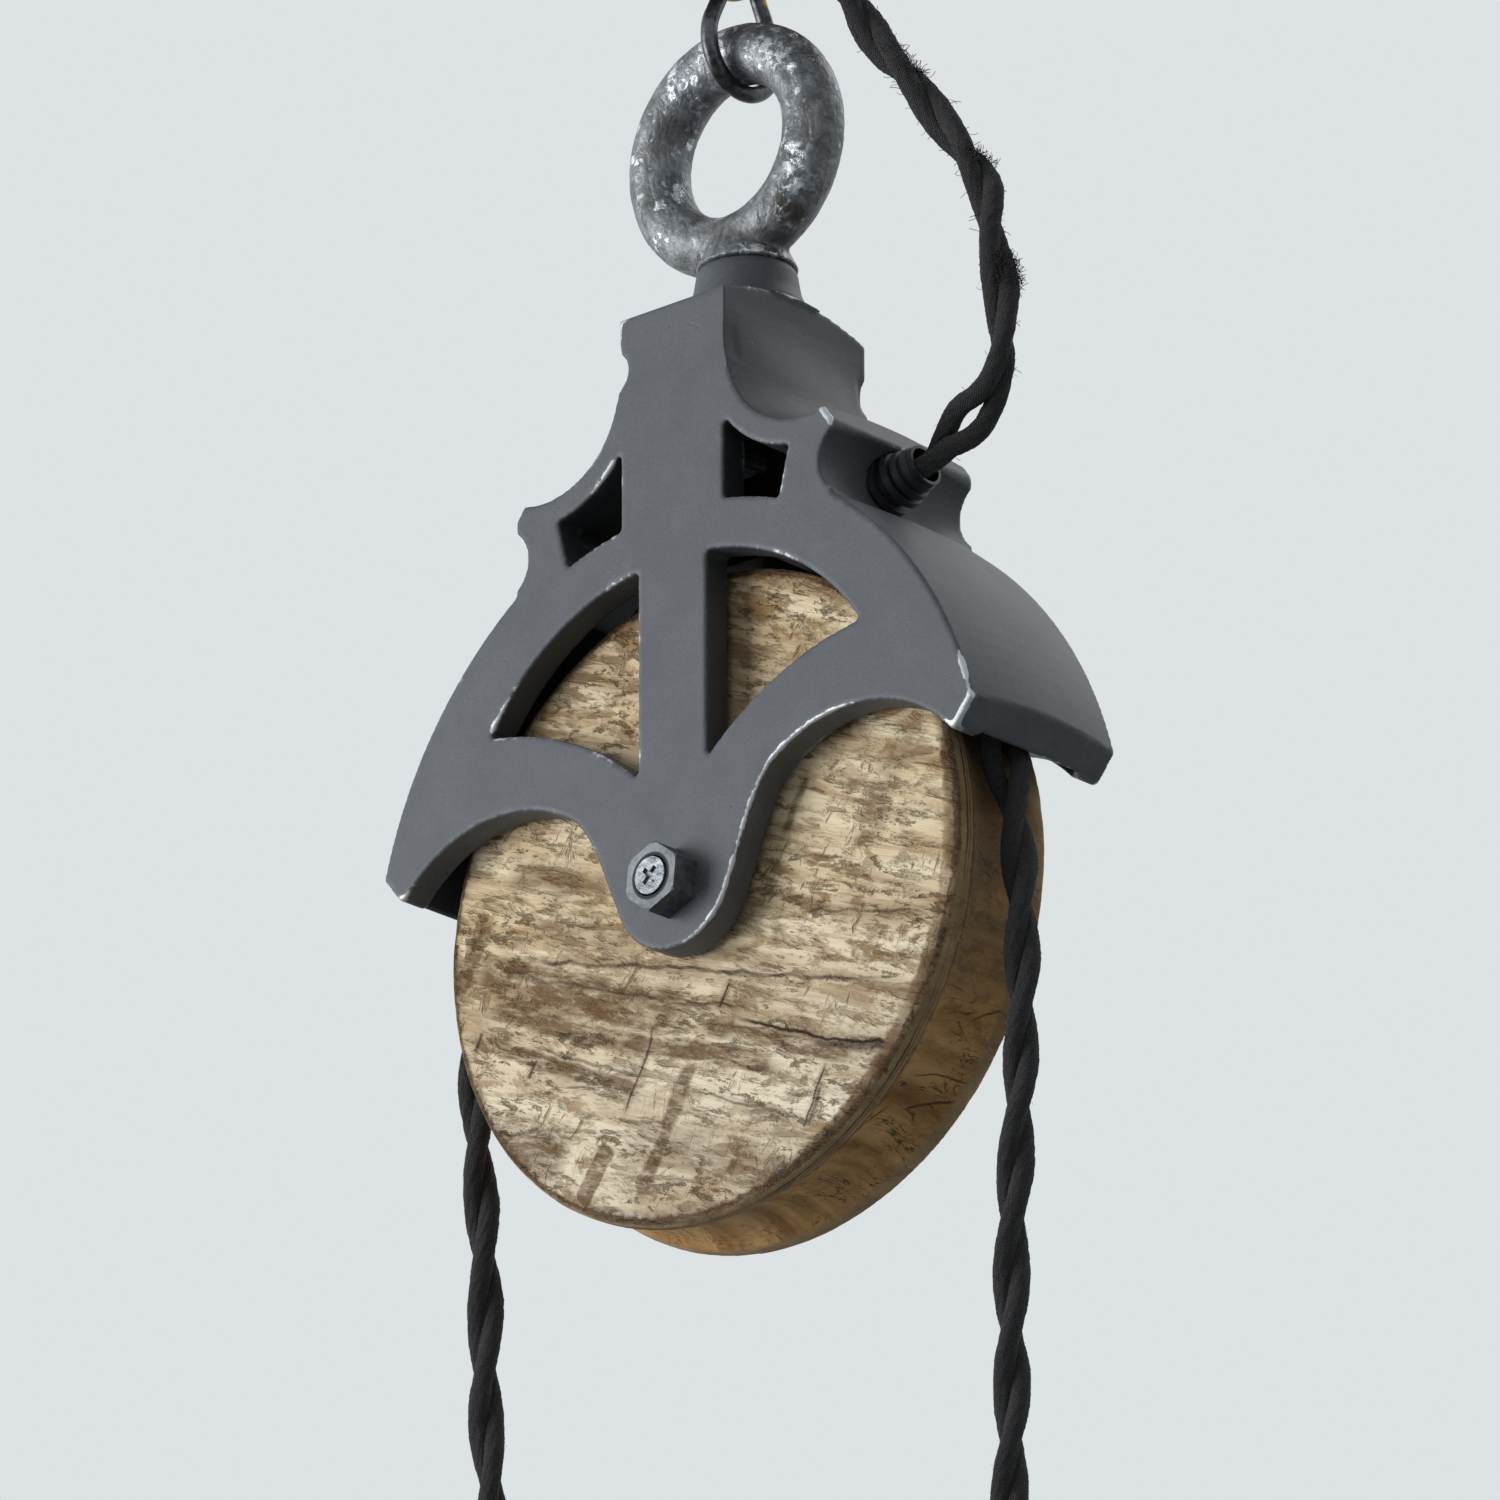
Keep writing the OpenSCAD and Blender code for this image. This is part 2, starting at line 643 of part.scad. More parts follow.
module axle_bolt() {
    front_y = -outer_y - axle_nut_h - axle_end;
    color(zinc) {
        difference() {
            bar(axle_d, front_y, outer_y + head_washer_t + 0.5);
            for (a = [45, 135]) translate([0, front_y, 0]) rotate([0, a, 0])
                cube([0.55 * axle_d, 1.4, 1.1], center = true);
        }
        translate([0, outer_y + head_washer_t, 0]) rotate([-90, 0, 0]) hexagon(axle_af, axle_head_h, false);
    }
}

module axle_nut() {
    color(zinc) translate([0, -outer_y, 0]) rotate([90, 0, 0]) difference() {
        rotate([0, 0, 23.6]) hexagon(axle_af, axle_nut_h, false);
        translate([0, 0, -over]) cylinder(d = axle_hole_d, h = axle_nut_h + 2 * over);
        translate([0, 0, axle_nut_h - 0.7]) cylinder(d1 = axle_hole_d, d2 = axle_hole_d + 1.6, h = 0.7 + over);
    }
}

module head_washer() {
    color(zinc) difference() {
        bar(axle_washer_d, outer_y, outer_y + head_washer_t);
        bar(axle_hole_d, outer_y - over, outer_y + head_washer_t + over);
    }
}

module side_washers() {
    color(zinc) for (s = [-1, 1]) translate([0, s * (inner_y - side_washer_t / 2), 0]) difference() {
        bar(axle_washer_d, -side_washer_t / 2, side_washer_t / 2);
        bar(axle_hole_d, -side_washer_t, side_washer_t);
    }
}

// ---- wiring ----

module cord_grommet() {
    rib = grommet_l / 8;
    color(black) at_grommet() difference() {
        union() {
            cylinder(d = grommet_hole_d, h = grommet_l);
            translate([0, 0, -6]) cylinder(d = grommet_hole_d, h = 7);
            cylinder(d = grommet_d, h = rib);
            for (k = [0 : 2]) translate([0, 0, grommet_l - (5.4 - 1.7 * k) * rib])
                cylinder(d1 = grommet_d - 1.1 * k, d2 = grommet_d - 0.5 - 1.1 * k, h = rib);
        }
        translate([0, 0, -8]) cylinder(d = cord_d + cord_fit, h = grommet_l + 10);
    }
}

module terminal_block() {
    color("white") difference() {
        translate([-block_w / 2, block_back_y - block_d, block_low_z]) cube([block_w, block_d, block_h]);
        translate([0, block_back_y + over, block_mid_z]) rotate([90, 0, 0])
            cylinder(d = block_screw_d + 2 * shaft_fit, h = 9 + over);
        for (s = [-1, 1]) for (k = [-1, 1])
            translate([s * block_w / 4, block_back_y - block_d - over, block_mid_z + k * block_h / 4])
                rotate([-90, 0, 0]) cylinder(d = 4 + 2 * shaft_fit, h = 3 + over);
    }
}

module terminal_screws() {
    color(brass) for (s = [-1, 1]) for (k = [-1, 1])
        translate([s * block_w / 4, block_back_y - block_d, block_mid_z + k * block_h / 4])
            rotate([-90, 0, 0]) difference() {
                translate([0, 0, 0.6]) cylinder(d = 4, h = 2.4);
                translate([0, 0, 0.6]) cube([5, 0.8, 1.2], center = true);
            }
}

module block_screw() {
    color(zinc) translate([0, outer_y, block_mid_z]) rotate([-90, 0, 0]) {
        translate([0, 0, -cheek_t - 8]) cylinder(d = block_screw_d, h = cheek_t + 8 + 0.5);
        difference() {
            intersection() {
                cylinder(d = 2 * block_screw_d, h = 2);
                translate([0, 0, -2.6]) sphere(d = 9.4);
            }
            translate([0, 0, 2]) cube([2 * block_screw_d + 1, 0.8, 1.4], center = true);
        }
    }
}

module supply_cord_upper() { color(black) cord(supply_above); }
module supply_cord_lower() { color(black) cord(concat(supply_inside, supply_outside)); }
module drop_cord_right() { color(black) cord(concat(drop_over, drop_right)); }
module drop_cord_left() { color(black) mirror([1, 0, 0]) cord(concat(drop_over, drop_left)); }

function end_x(route) = route[len(route) - 1][0];
function end_z(route) = route[len(route) - 1][1];

// Places its children at the lower end of a drop cord, with z = 0 on the cord's end face.
module at_drop(side) {
    route = side < 0 ? drop_left : drop_right;
    translate([side * end_x(route), 0, end_z(route)]) children();
}

module drop_grip(side) {
    color(brass) at_drop(side) difference() {
        rotate_extrude() polygon([
            [0, grip_cord_l], [cord_d / 2 + 1.4, grip_cord_l], [cord_d / 2 + 2, grip_cord_l - 1],
            [cord_d / 2 + 2.6, 3], [grip_d / 2 - 1, 0], [grip_d / 2, -1],
            [grip_d / 2, grip_cord_l - grip_h + 1], [grip_d / 2 - 1, grip_cord_l - grip_h],
            [0, grip_cord_l - grip_h]]);
        cylinder(d = cord_d + cord_fit, h = grip_cord_l + over);
        translate([0, 0, grip_cord_l - grip_h - over])
            cylinder(d = nipple_d + 2 * shaft_fit, h = grip_h - grip_cord_l - 1 + over);
        translate([0, 0, -over - 1]) cylinder(d = 5, h = over + 2);
        translate([0, 0, -5]) rotate([90, 0, 0]) cylinder(d = grip_screw_d + 2 * shaft_fit, h = grip_d);
    }
}

module drop_nipple(side) {
    len_in = grip_h - grip_cord_l - 1.3;
    color(brass) at_drop(side) translate([0, 0, grip_cord_l - grip_h - nipple_out]) difference() {
        union() {
            cylinder(d = nipple_d, h = nipple_out - nipple_groove);
            cylinder(d = nipple_d - 1.2, h = nipple_out + over);
            translate([0, 0, nipple_out]) cylinder(d = nipple_d, h = len_in);
        }
        translate([0, 0, -over]) cylinder(d = nipple_d - 3, h = len_in + nipple_out + 2 * over);
    }
}

module grip_screws() {
    color(zinc) for (s = [-1, 1]) at_drop(s) translate([0, -nipple_d / 2 - 0.2, -5])
        rotate([90, 0, 0]) difference() {
            cylinder(d = grip_screw_d, h = (grip_d - nipple_d) / 2 - 0.2);
            translate([0, 0, (grip_d - nipple_d) / 2]) cube([grip_screw_d + 1, 0.6, 1.6], center = true);
        }
}

// Moves a piece from the axle's frame to the ceiling's.
module hung() { translate([0, 0, -ceiling_z]) children(); }

hung() frame_casting();
hung() eye_bolt();
hung() eye_washer();
hung() eye_nut();
hung() ring_link();
hung() ceiling_hook();
hung() hook_nut();
hung() ceiling_plate();
hung() rose_cover();
hung() rose_gland();
hung() rose_terminal();
hung() sheave();
hung() sheave_bush();
hung() axle_bolt();
hung() axle_nut();
hung() head_washer();
hung() side_washers();
hung() cord_grommet();
hung() terminal_block();
hung() terminal_screws();
hung() block_screw();
hung() supply_cord_upper();
hung() supply_cord_lower();
hung() drop_cord_left();
hung() drop_cord_right();
hung() drop_grip(-1);  // drop_grip_left
hung() drop_grip(1);  // drop_grip_right
hung() drop_nipple(-1);  // drop_nipple_left
hung() drop_nipple(1);  // drop_nipple_right
hung() grip_screws();
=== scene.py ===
import bpy, bmesh, math
import numpy as np
from functools import partial, reduce
from mathutils import Matrix, Vector, noise


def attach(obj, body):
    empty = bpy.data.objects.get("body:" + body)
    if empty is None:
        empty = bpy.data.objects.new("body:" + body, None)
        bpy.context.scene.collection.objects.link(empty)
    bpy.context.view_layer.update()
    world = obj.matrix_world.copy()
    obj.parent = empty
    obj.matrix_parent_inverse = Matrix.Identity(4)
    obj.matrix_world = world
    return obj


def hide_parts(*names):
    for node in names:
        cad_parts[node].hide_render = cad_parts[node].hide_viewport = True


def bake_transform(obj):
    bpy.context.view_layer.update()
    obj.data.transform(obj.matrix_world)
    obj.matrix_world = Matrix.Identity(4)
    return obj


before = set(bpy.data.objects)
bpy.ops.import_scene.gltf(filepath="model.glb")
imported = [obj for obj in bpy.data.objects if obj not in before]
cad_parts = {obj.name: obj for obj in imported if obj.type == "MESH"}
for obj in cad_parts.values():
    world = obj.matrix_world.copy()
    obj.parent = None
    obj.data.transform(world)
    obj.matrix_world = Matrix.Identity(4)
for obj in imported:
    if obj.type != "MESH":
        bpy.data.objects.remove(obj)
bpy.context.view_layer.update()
axleHeight = -0.252477729  # the axle hangs this far under the ceiling


def place(x, y, z):  # millimetres from the middle of the axle
    return Vector((x / 1000, y / 1000, z / 1000 + axleHeight))


# ---- camera ----

camera = {"right": (0.74950563, 0.66198899, -0.00344846), "up": (0.23852125, -0.26518775, 0.9342286),
          "forward": (-0.61753455, 0.70103212, 0.35665816), "at": (1481.053, -1679.469, -819.210), "lens": 277.913}
eye = bpy.data.objects.new("viewer", bpy.data.cameras.new("viewer"))
bpy.context.scene.collection.objects.link(eye)
eye.data.lens, eye.data.sensor_width, eye.data.clip_start, eye.data.clip_end = camera["lens"], 36, 0.05, 50
turn = Matrix([camera["right"], camera["up"], [-v for v in camera["forward"]]]).transposed().to_4x4()
eye.matrix_world = Matrix.Translation(place(*camera["at"])) @ turn
bpy.context.scene.camera = eye
viewAlong = Vector(camera["forward"])

# ---- cords ----

# millimetres, then scales of the noise and the braid
flex = {"strand": 2.15, "apart": 1.62, "sides": 32, "step": 0.5, "across": 0.0078, "lump": 0.1, "oval": 0.035,
        "streak": 0.2, "wisp": 0.14, "yarn": 3.2, "finer": 2.6, "slant": 0.16, "weave": 12.25}
supplyRoute = [(12.5, 87.7), (15.5, 87.7), (20.5, 86.2), (25.5, 82.8), (30.2, 80.7), (31.7, 81.1), (39.5, 83),
               (51.1, 85.9), (57, 89.9), (63, 93.3), (67.8, 97.3), (70.6, 103), (71.3, 109), (71.2, 112), (71.1, 115),
               (71, 118), (70, 125), (68.6, 133), (67, 142.5), (62.5, 151.4), (55.5, 161), (47.5, 173), (38.5, 184),
               (31.5, 196), (24, 207), (18, 215.5), (18, 223.5), (18, 238.5)]
dropOver = [(12.5, 79), (15.5, 79), (21, 77.5), (26, 73.2), (30, 69), (34, 64.8), (38.3, 61.3), (46.5, 55.4),
            (53.7, 48.4), (59.9, 40.4), (65, 31.7), (68.8, 22.3), (71.2, 12.6), (73, 3)]
dropRight = [(74, -9), (74.5, -24), (74.2, -40), (73.2, -56), (71.9, -72), (70.8, -88), (70.5, -105), (70.3, -122),
             (69.6, -137), (69.3, -152), (69.3, -165)]
dropLeft = [(74.6, -9), (75, -22), (74.2, -36), (73.2, -50), (72.2, -63), (72.1, -80), (71.7, -95), (70.3, -108),
            (69.7, -116), (69.7, -128)]


def smoothRoute(points, step):  # an even run of points through the given ones
    p = np.array([[2 * points[0][k] - points[1][k] for k in (0, 1)], *points,
                  [2 * points[-1][k] - points[-2][k] for k in (0, 1)]], float)
    fine = []
    for i in range(1, len(p) - 2):
        for t in np.linspace(0, 1, 24, endpoint=False):
            fine.append(0.5 * (2 * p[i] + (p[i + 1] - p[i - 1]) * t
                               + (2 * p[i - 1] - 5 * p[i] + 4 * p[i + 1] - p[i + 2]) * t * t
                               + (3 * p[i] - p[i - 1] - 3 * p[i + 1] + p[i + 2]) * t ** 3))
    fine = np.array(fine + [p[-2]])
    run = np.concatenate([[0], np.cumsum(np.linalg.norm(np.diff(fine, axis=0), axis=1))])
    even = np.linspace(0, run[-1], int(run[-1] / step) + 2)
    return np.c_[np.interp(even, run, fine[:, 0]), np.interp(even, run, fine[:, 1])], even


def twist(points, necks, wide, mirrored=False):  # the cord's middle and its two strands, crossing at each neck
    line, run = smoothRoute(points, flex["step"])
    if mirrored:
        line[:, 0] *= -1
    ahead = np.gradient(line, run, axis=0)
    ahead /= np.linalg.norm(ahead, axis=1)[:, None]
    side = np.c_[ahead[:, 1], -ahead[:, 0]]  # turns (x, z) so that side, depth and ahead are right handed
    order = sorted(necks, reverse=bool(line[-1, 1] < line[0, 1]))
    start = 1e3 * (np.arange(len(run)) < len(run) // 6)  # keeps the hidden start out of the search
    reach = [run[np.argmin(np.abs(line[:, 1] - z) + start)] for z in order]
    phase = []
    for s in reach:
        x, z = side[np.searchsorted(run, s)]
        seen = math.atan2(viewAlong.y, x * viewAlong.x + z * viewAlong.z)
        if phase:
            due = phase[-1] + math.pi
            seen = due + (seen - due + math.pi / 2) % math.pi - math.pi / 2
        phase.append(seen)
    pitch = (reach[-1] - reach[0]) / (len(reach) - 1)
    more = np.arange(1, 10)  # crossings past both ends
    knots = np.concatenate([reach[0] - pitch * more[::-1], reach, reach[-1] + pitch * more])
    turns = np.concatenate([phase[0] - math.pi * more[::-1], phase, phase[-1] + math.pi * more])
    angle = np.pad(np.interp(run, knots, turns), 7, mode="reflect", reflect_type="odd")
    angle = np.convolve(angle, np.ones(15) / 15, mode="valid")
    apart = np.full(len(run), flex["apart"])
    for z, extra, reachOut in wide:
        apart += extra * np.exp(-((run - run[np.argmin(np.abs(line[:, 1] - z))]) / reachOut) ** 2)
    flat = np.zeros(len(run))
    middle = np.c_[line[:, 0], flat, line[:, 1]]
    out = np.cos(angle)[:, None] * np.c_[side[:, 0], flat, side[:, 1]] + np.sin(angle)[:, None] * np.array([0, 1, 0])
    return middle, [middle + out * apart[:, None], middle - out * apart[:, None]]


def strandMesh(paths, first, last, seed):  # round tubes along the strands, in part frame metres
    chance = np.random.default_rng(seed)
    spots, faces, marks = [], [], []
    sides = flex["sides"]
    around = np.linspace(0, 2 * math.pi, sides, endpoint=False)
    for path in paths:
        whole = len(path)
        lumps = np.convolve(chance.normal(0, 1, whole + 24), np.hanning(25) / 6, mode="valid") * flex["lump"]
        oval = np.convolve(chance.normal(0, 1, whole + 60), np.hanning(61) / 9, mode="valid")
        ahead = np.gradient(path, axis=0)
        ahead /= np.linalg.norm(ahead, axis=1)[:, None]
        across = np.zeros_like(path)
        across[0] = np.cross(ahead[0], [0.3, 1, 0.2])
        for i in range(whole):
            held = across[max(i - 1, 0)]
            held = held - ahead[i] * np.dot(held, ahead[i])
            across[i] = held / np.linalg.norm(held)
        up = np.cross(ahead, across)
        base = len(spots)
        length = np.concatenate([[0], np.cumsum(np.linalg.norm(np.diff(path, axis=0), axis=1))])
        for i in range(first, last):
            slant = length[i] * flex["slant"]  # the yarn lies at a slant round the strand
            for a in around:
                fibre = Vector((math.cos(a - slant) * flex["yarn"], math.sin(a - slant) * flex["yarn"], slant + seed))
                r = (flex["strand"] + lumps[i]) * (1 + flex["oval"] * math.cos(2 * (a + oval[i])))
                r += flex["streak"] * noise.noise(fibre) + flex["wisp"] * noise.noise(fibre * flex["finer"])
                spots.append(place(*(path[i] + r * (math.cos(a) * across[i] + math.sin(a) * up[i]))))
        rings = last - first
        for i in range(rings - 1):
            low, high = base + i * sides, base + (i + 1) * sides
            v0, v1 = length[first + i] / flex["weave"], length[first + i + 1] / flex["weave"]
            for k in range(sides):
                j = (k + 1) % sides
                faces.append([low + k, low + j, high + j, high + k])
                marks.append([(k / sides, v0), ((k + 1) / sides, v0), ((k + 1) / sides, v1), (k / sides, v1)])
        faces += [[base + k for k in reversed(range(sides))], [base + (rings - 1) * sides + k for k in range(sides)]]
        marks += [[(0.5, 0)] * sides] * 2
    return spots, faces, marks


def newPiece(name, spots, faces, marks=None):
    mesh = bpy.data.meshes.new(name)
    mesh.from_pydata([tuple(s) for s in spots], [], faces)
    if marks:
        uv = mesh.uv_layers.new(name="weave")
        uv.data.foreach_set("uv", [c for face in marks for pair in face for c in pair])
    mesh.polygons.foreach_set("use_smooth", [True] * len(mesh.polygons))
    mesh.update()
    piece = bpy.data.objects.new(name, mesh)
    bpy.context.scene.collection.objects.link(piece)
    return piece


supplyMiddle, supplyStrands = twist(supplyRoute, [85.6, 107.2, 134.9, 151.8, 176.3, 198], [(92, 1.7, 6)])
rightMiddle, rightStrands = twist(dropOver + dropRight, [2.8, -16.3, -37.3, -59.1, -82.3, -105.8, -128.6],
                                  [(17.5, 1.4, 9)])
leftMiddle, leftStrands = twist(dropOver + dropLeft, [-33.7, -58.9, -83.8, -108.7], [], True)
joinAt = int(np.argmin(np.abs(supplyMiddle[:, 2] - 184)))  # the supply cord's two pieces meet near the ring
cords = {}
for name, strands, first, last, seed in (("supplyCordLower", supplyStrands, 0, joinAt + 1, 5),
                                         ("supplyCordUpper", supplyStrands, joinAt, len(supplyMiddle), 5),
                                         ("dropCordRight", rightStrands, 0, len(rightMiddle), 8),
                                         ("dropCordLeft", leftStrands, 0, len(leftMiddle), 9)):
    cords[name] = newPiece(name, *strandMesh(strands, first, last, seed))
print("cords", {n: len(c.data.polygons) for n, c in cords.items()})

# ---- node tools ----


def plug(value, slot):  # a link from a socket, or a plain value
    if isinstance(value, bpy.types.NodeSocket):
        slot.id_data.links.new(value, slot)
    else:
        slot.default_value = value


def add(tree, kind, sockets=None, **settings):
    made = tree.nodes.new(kind)
    for key, value in settings.items():
        setattr(made, key, value)
    for key, value in (sockets or {}).items():
        plug(value, made.inputs[key])
    return made


def beside(kind, *values, **settings):  # a node in the tree that its values come from
    tree = next(v.id_data for v in values if isinstance(v, bpy.types.NodeSocket))
    return add(tree, kind, dict(enumerate(values)), **settings).outputs


def sums(kind, *values):
    return beside("ShaderNodeMath", *values, operation=kind)[0]


def vectors(kind, *values):
    return beside("ShaderNodeVectorMath", *values, operation=kind)[0]


def chained(kind):  # sums that take any number of values
    return lambda *values: reduce(partial(sums, kind), values)


plus, times, most = chained("ADD"), chained("MULTIPLY"), chained("MAXIMUM")
minus, scaled, size = partial(sums, "SUBTRACT"), partial(sums, "MULTIPLY_ADD"), partial(sums, "ABSOLUTE")


def between(value, low, high, outLow=0.0, outHigh=1.0):
    return beside("ShaderNodeMapRange", value, low, high, outLow, outHigh, clamp=True)[0]


def partsOf(vector):
    return beside("ShaderNodeSeparateXYZ", vector)


def joined(x, y, z):
    return beside("ShaderNodeCombineXYZ", x, y, z)[0]


def lengthAt(vector):
    return beside("ShaderNodeVectorMath", vector, operation="LENGTH")["Value"]


def mapped(vector, **how):
    return add(vector.id_data, "ShaderNodeMapping", {"Vector": vector, **how}).outputs[0]


def turned(vector, angle):
    return add(vector.id_data, "ShaderNodeVectorRotate", {"Vector": vector, "Angle": angle, "Axis": (0, 1, 0)},
               rotation_type="AXIS_ANGLE").outputs[0]


def mixed(amount, a, b):  # colours
    return add(amount.id_data, "ShaderNodeMix", {0: amount, 6: a, 7: b}, data_type="RGBA").outputs[2]


def noiseAt(vector, scale, detail=4.0, rough=0.55, warp=0.0):
    return add(vector.id_data, "ShaderNodeTexNoise", {"Vector": vector, "Scale": scale, "Detail": detail,
                                                      "Roughness": rough, "Distortion": warp}).outputs["Fac"]


def longNoise(vector, stretch, scale, detail, rough, warp=0.0):  # noise drawn out along one direction
    return noiseAt(vectors("MULTIPLY", vector, stretch), scale, detail, rough, warp)


def shake(vector, scale, detail):  # a small push in every direction
    push = add(vector.id_data, "ShaderNodeTexNoise", {"Vector": vector, "Scale": scale, "Detail": detail})
    return vectors("SUBTRACT", push.outputs["Color"], (0.5, 0.5, 0.5))


def cellsAt(vector, scale):
    return add(vector.id_data, "ShaderNodeTexVoronoi", {"Vector": vector, "Scale": scale}, feature="F1").outputs


def shade(r, g, b):  # a screen colour, 0 to 255, as the shader wants it
    parts = (c / 255 for c in (r, g, b))
    return tuple(c / 12.92 if c < 0.04045 else ((c + 0.055) / 1.055) ** 2.4 for c in parts) + (1,)


# ---- shared groups ----


def grouped(name, inputs, build):  # build takes the group's inputs and gives its outputs by name
    tree = bpy.data.node_groups.new(name, "ShaderNodeTree")
    for label, value in inputs.items():
        kind = "NodeSocketFloat" if isinstance(value, float) else "NodeSocketVector"
        tree.interface.new_socket(name=label, in_out="INPUT", socket_type=kind).default_value = value
    results = build(tree.nodes.new("NodeGroupInput").outputs)
    for label in results:
        tree.interface.new_socket(name=label, in_out="OUTPUT", socket_type="NodeSocketFloat")
    end = tree.nodes.new("NodeGroupOutput")
    for label, socket in results.items():
        plug(socket, end.inputs[label])
    return tree


def placed(tree, group, sockets):
    return add(tree, "ShaderNodeGroup", sockets, node_tree=group).outputs


def rubbedEdgesAndHighlight(a):  # chips and rubbed edges, and a softer band along every edge that serves as a painted highlight, from an edge value kept on the mesh
    broken = noiseAt(a["Vector"], a["Grain"], 5, 0.65)
    patchy = noiseAt(a["Vector"], 38.0, 3, 0.6)
    reach = plus(times(a["Edge"], 1.6), scaled(patchy, 2.4, -1.2), scaled(broken, 1.5, -0.75))
    reach = plus(reach, minus(a["Amount"], 1.0))
    return {"Mask": between(reach, 0.32, 0.5), "Soft": between(reach, -0.1, 0.7)}


def castSkin(a):  # a fine grain with low waves
    fine = noiseAt(a["Vector"], a["Grain"], 3, 0.6)
    wave = noiseAt(a["Vector"], a["Wave"], 3, 0.5)
    pits = times(between(cellsAt(a["Vector"], 260.0)["Distance"], 0.16, 0.05), between(wave, 0.52, 0.66))
    return {"Height": minus(scaled(fine, 0.35, wave), times(pits, 0.6)), "Tone": scaled(fine, 0.4, times(wave, 0.6))}


def dust(a):  # loose dust and lint
    low = minus(0.72, times(a["Amount"], 0.4))
    return {"Mask": between(noiseAt(a["Vector"], a["Scale"], 6, 0.7), low, plus(low, 0.14))}


def woodStroke(a):  # one long soft mark: a crack, a stain or a saw line
    parts = partsOf(turned(vectors("SUBTRACT", a["Vector"], a["Middle"]), a["Turn"]))
    along = sums("DIVIDE", size(parts[0]), a["Half length"])
    across = sums("DIVIDE", size(parts[2]), a["Half width"])
    return {"Mask": times(between(along, 1.0, 0.75), between(across, 1.0, 0.35)),
            "Soft": times(between(along, 1.2, 0.8), between(across, 3.4, 1.2))}


def sawnGrain(a):  # streaks along the grain, short checks across it
    longer = vectors("MULTIPLY", a["Vector"], (0.16, 0.7, 1.0))
    longer = vectors("ADD", longer, joined(0.0, 0.0, times(noiseAt(longer, a["Long"], 2, 0.5), 0.012)))
    return {"Streak": noiseAt(longer, 120.0, 5, 0.62, 0.3),
            "Dash": longNoise(a["Vector"], (0.22, 0.5, 1.0), a["Fine"], 4, 0.7, 0.4),
            "Chatter": longNoise(a["Vector"], (1.0, 0.6, 0.3), a["Fine"], 3, 0.7, 1.6),
            "Fibre": longNoise(a["Vector"], (0.06, 0.6, 1.0), 1400.0, 2, 0.5)}


def braid(a):  # braided cloth, from a cord's own uv map
    parts = partsOf(a["Vector"])
    turns, climb = times(parts[0], a["Around"]), times(parts[1], times(a["Around"], a["Slope"]))
    one, two = (size(sums("SINE", times(way, math.pi))) for way in (plus(turns, climb), minus(turns, climb)))
    return {"Height": times(one, two), "Tone": sums("MINIMUM", one, two)}


origin = (0.0, 0.0, 0.0)
wearAndHighlightGroup = grouped("rubbedEdgesAndHighlight", {"Vector": origin, "Edge": 0.0, "Amount": 0.5, "Grain": 320.0}, rubbedEdgesAndHighlight)
castGroup = grouped("castSkin", {"Vector": origin, "Grain": 900.0, "Wave": 60.0}, castSkin)
dustGroup = grouped("dust", {"Vector": origin, "Scale": 500.0, "Amount": 0.2}, dust)
strokeGroup = grouped("woodStroke", {"Vector": origin, "Middle": origin, "Turn": 0.0, "Half length": 10.0,
                                     "Half width": 0.5}, woodStroke)
grainGroup = grouped("sawnGrain", {"Vector": origin, "Long": 22.0, "Fine": 300.0}, sawnGrain)
braidGroup = grouped("braid", {"Vector": origin, "Around": 16.0, "Slope": 1.0}, braid)

# ---- finishes ----


def newMaterial(name):
    made = bpy.data.materials.new(name)
    made.use_nodes = True
    tree = made.node_tree
    tree.nodes.clear()
    skin = tree.nodes.new("ShaderNodeBsdfPrincipled")
    plug(skin.outputs[0], tree.nodes.new("ShaderNodeOutputMaterial").inputs[0])
    return made, tree, skin, tree.nodes.new("ShaderNodeTexCoord").outputs["Object"]


def surfaced(skin, inputs, height, strength, distance):  # fills a skin's inputs and bumps it
    bump = add(skin.id_data, "ShaderNodeBump", {"Height": height, "Strength": strength, "Distance": distance})
    for key, value in {**inputs, "Normal": bump.outputs[0]}.items():
        plug(value, skin.inputs[key])


def kept(tree, name):  # a value stored on the mesh
    return add(tree, "ShaderNodeAttribute", attribute_name=name).outputs["Fac"]


def castIron(name, dark, light, bare, look):
    made, tree, skin, spot = newMaterial(name)
    cast = placed(tree, castGroup, {"Vector": spot, "Grain": look["grain"], "Wave": look["wave"]})
    wearAndHighlight = placed(tree, wearAndHighlightGroup, {"Vector": spot, "Edge": kept(tree, "edgeWearAndHighlight"), "Amount": look["worn"]})
    colour = mixed(between(cast["Tone"], 0.4, 0.6), dark, light)
    colour = mixed(between(noiseAt(spot, look["speck"], 2, 0.6), 0.36, 0.64, 0.0, 0.32), colour, look["specks"])
    # painted shade: darker inside the hood and in the crown's scoop
    colour = mixed(kept(tree, "hollow"), colour, look["hollow"])
    # painted highlight: every edge a little lighter, as if it caught the light
    colour = mixed(times(wearAndHighlight["Soft"], 0.14), colour, bare)
    colour = mixed(times(wearAndHighlight["Mask"], 0.8), colour, bare)
    rough = minus(scaled(cast["Tone"], 0.16, look["rough"] - 0.08), times(wearAndHighlight["Soft"], 0.06))
    surfaced(skin, {"Base Color": colour, "Roughness": rough, "Metallic": times(wearAndHighlight["Mask"], 0.7)},
             cast["Height"], 0.35, 0.0004)
    return made


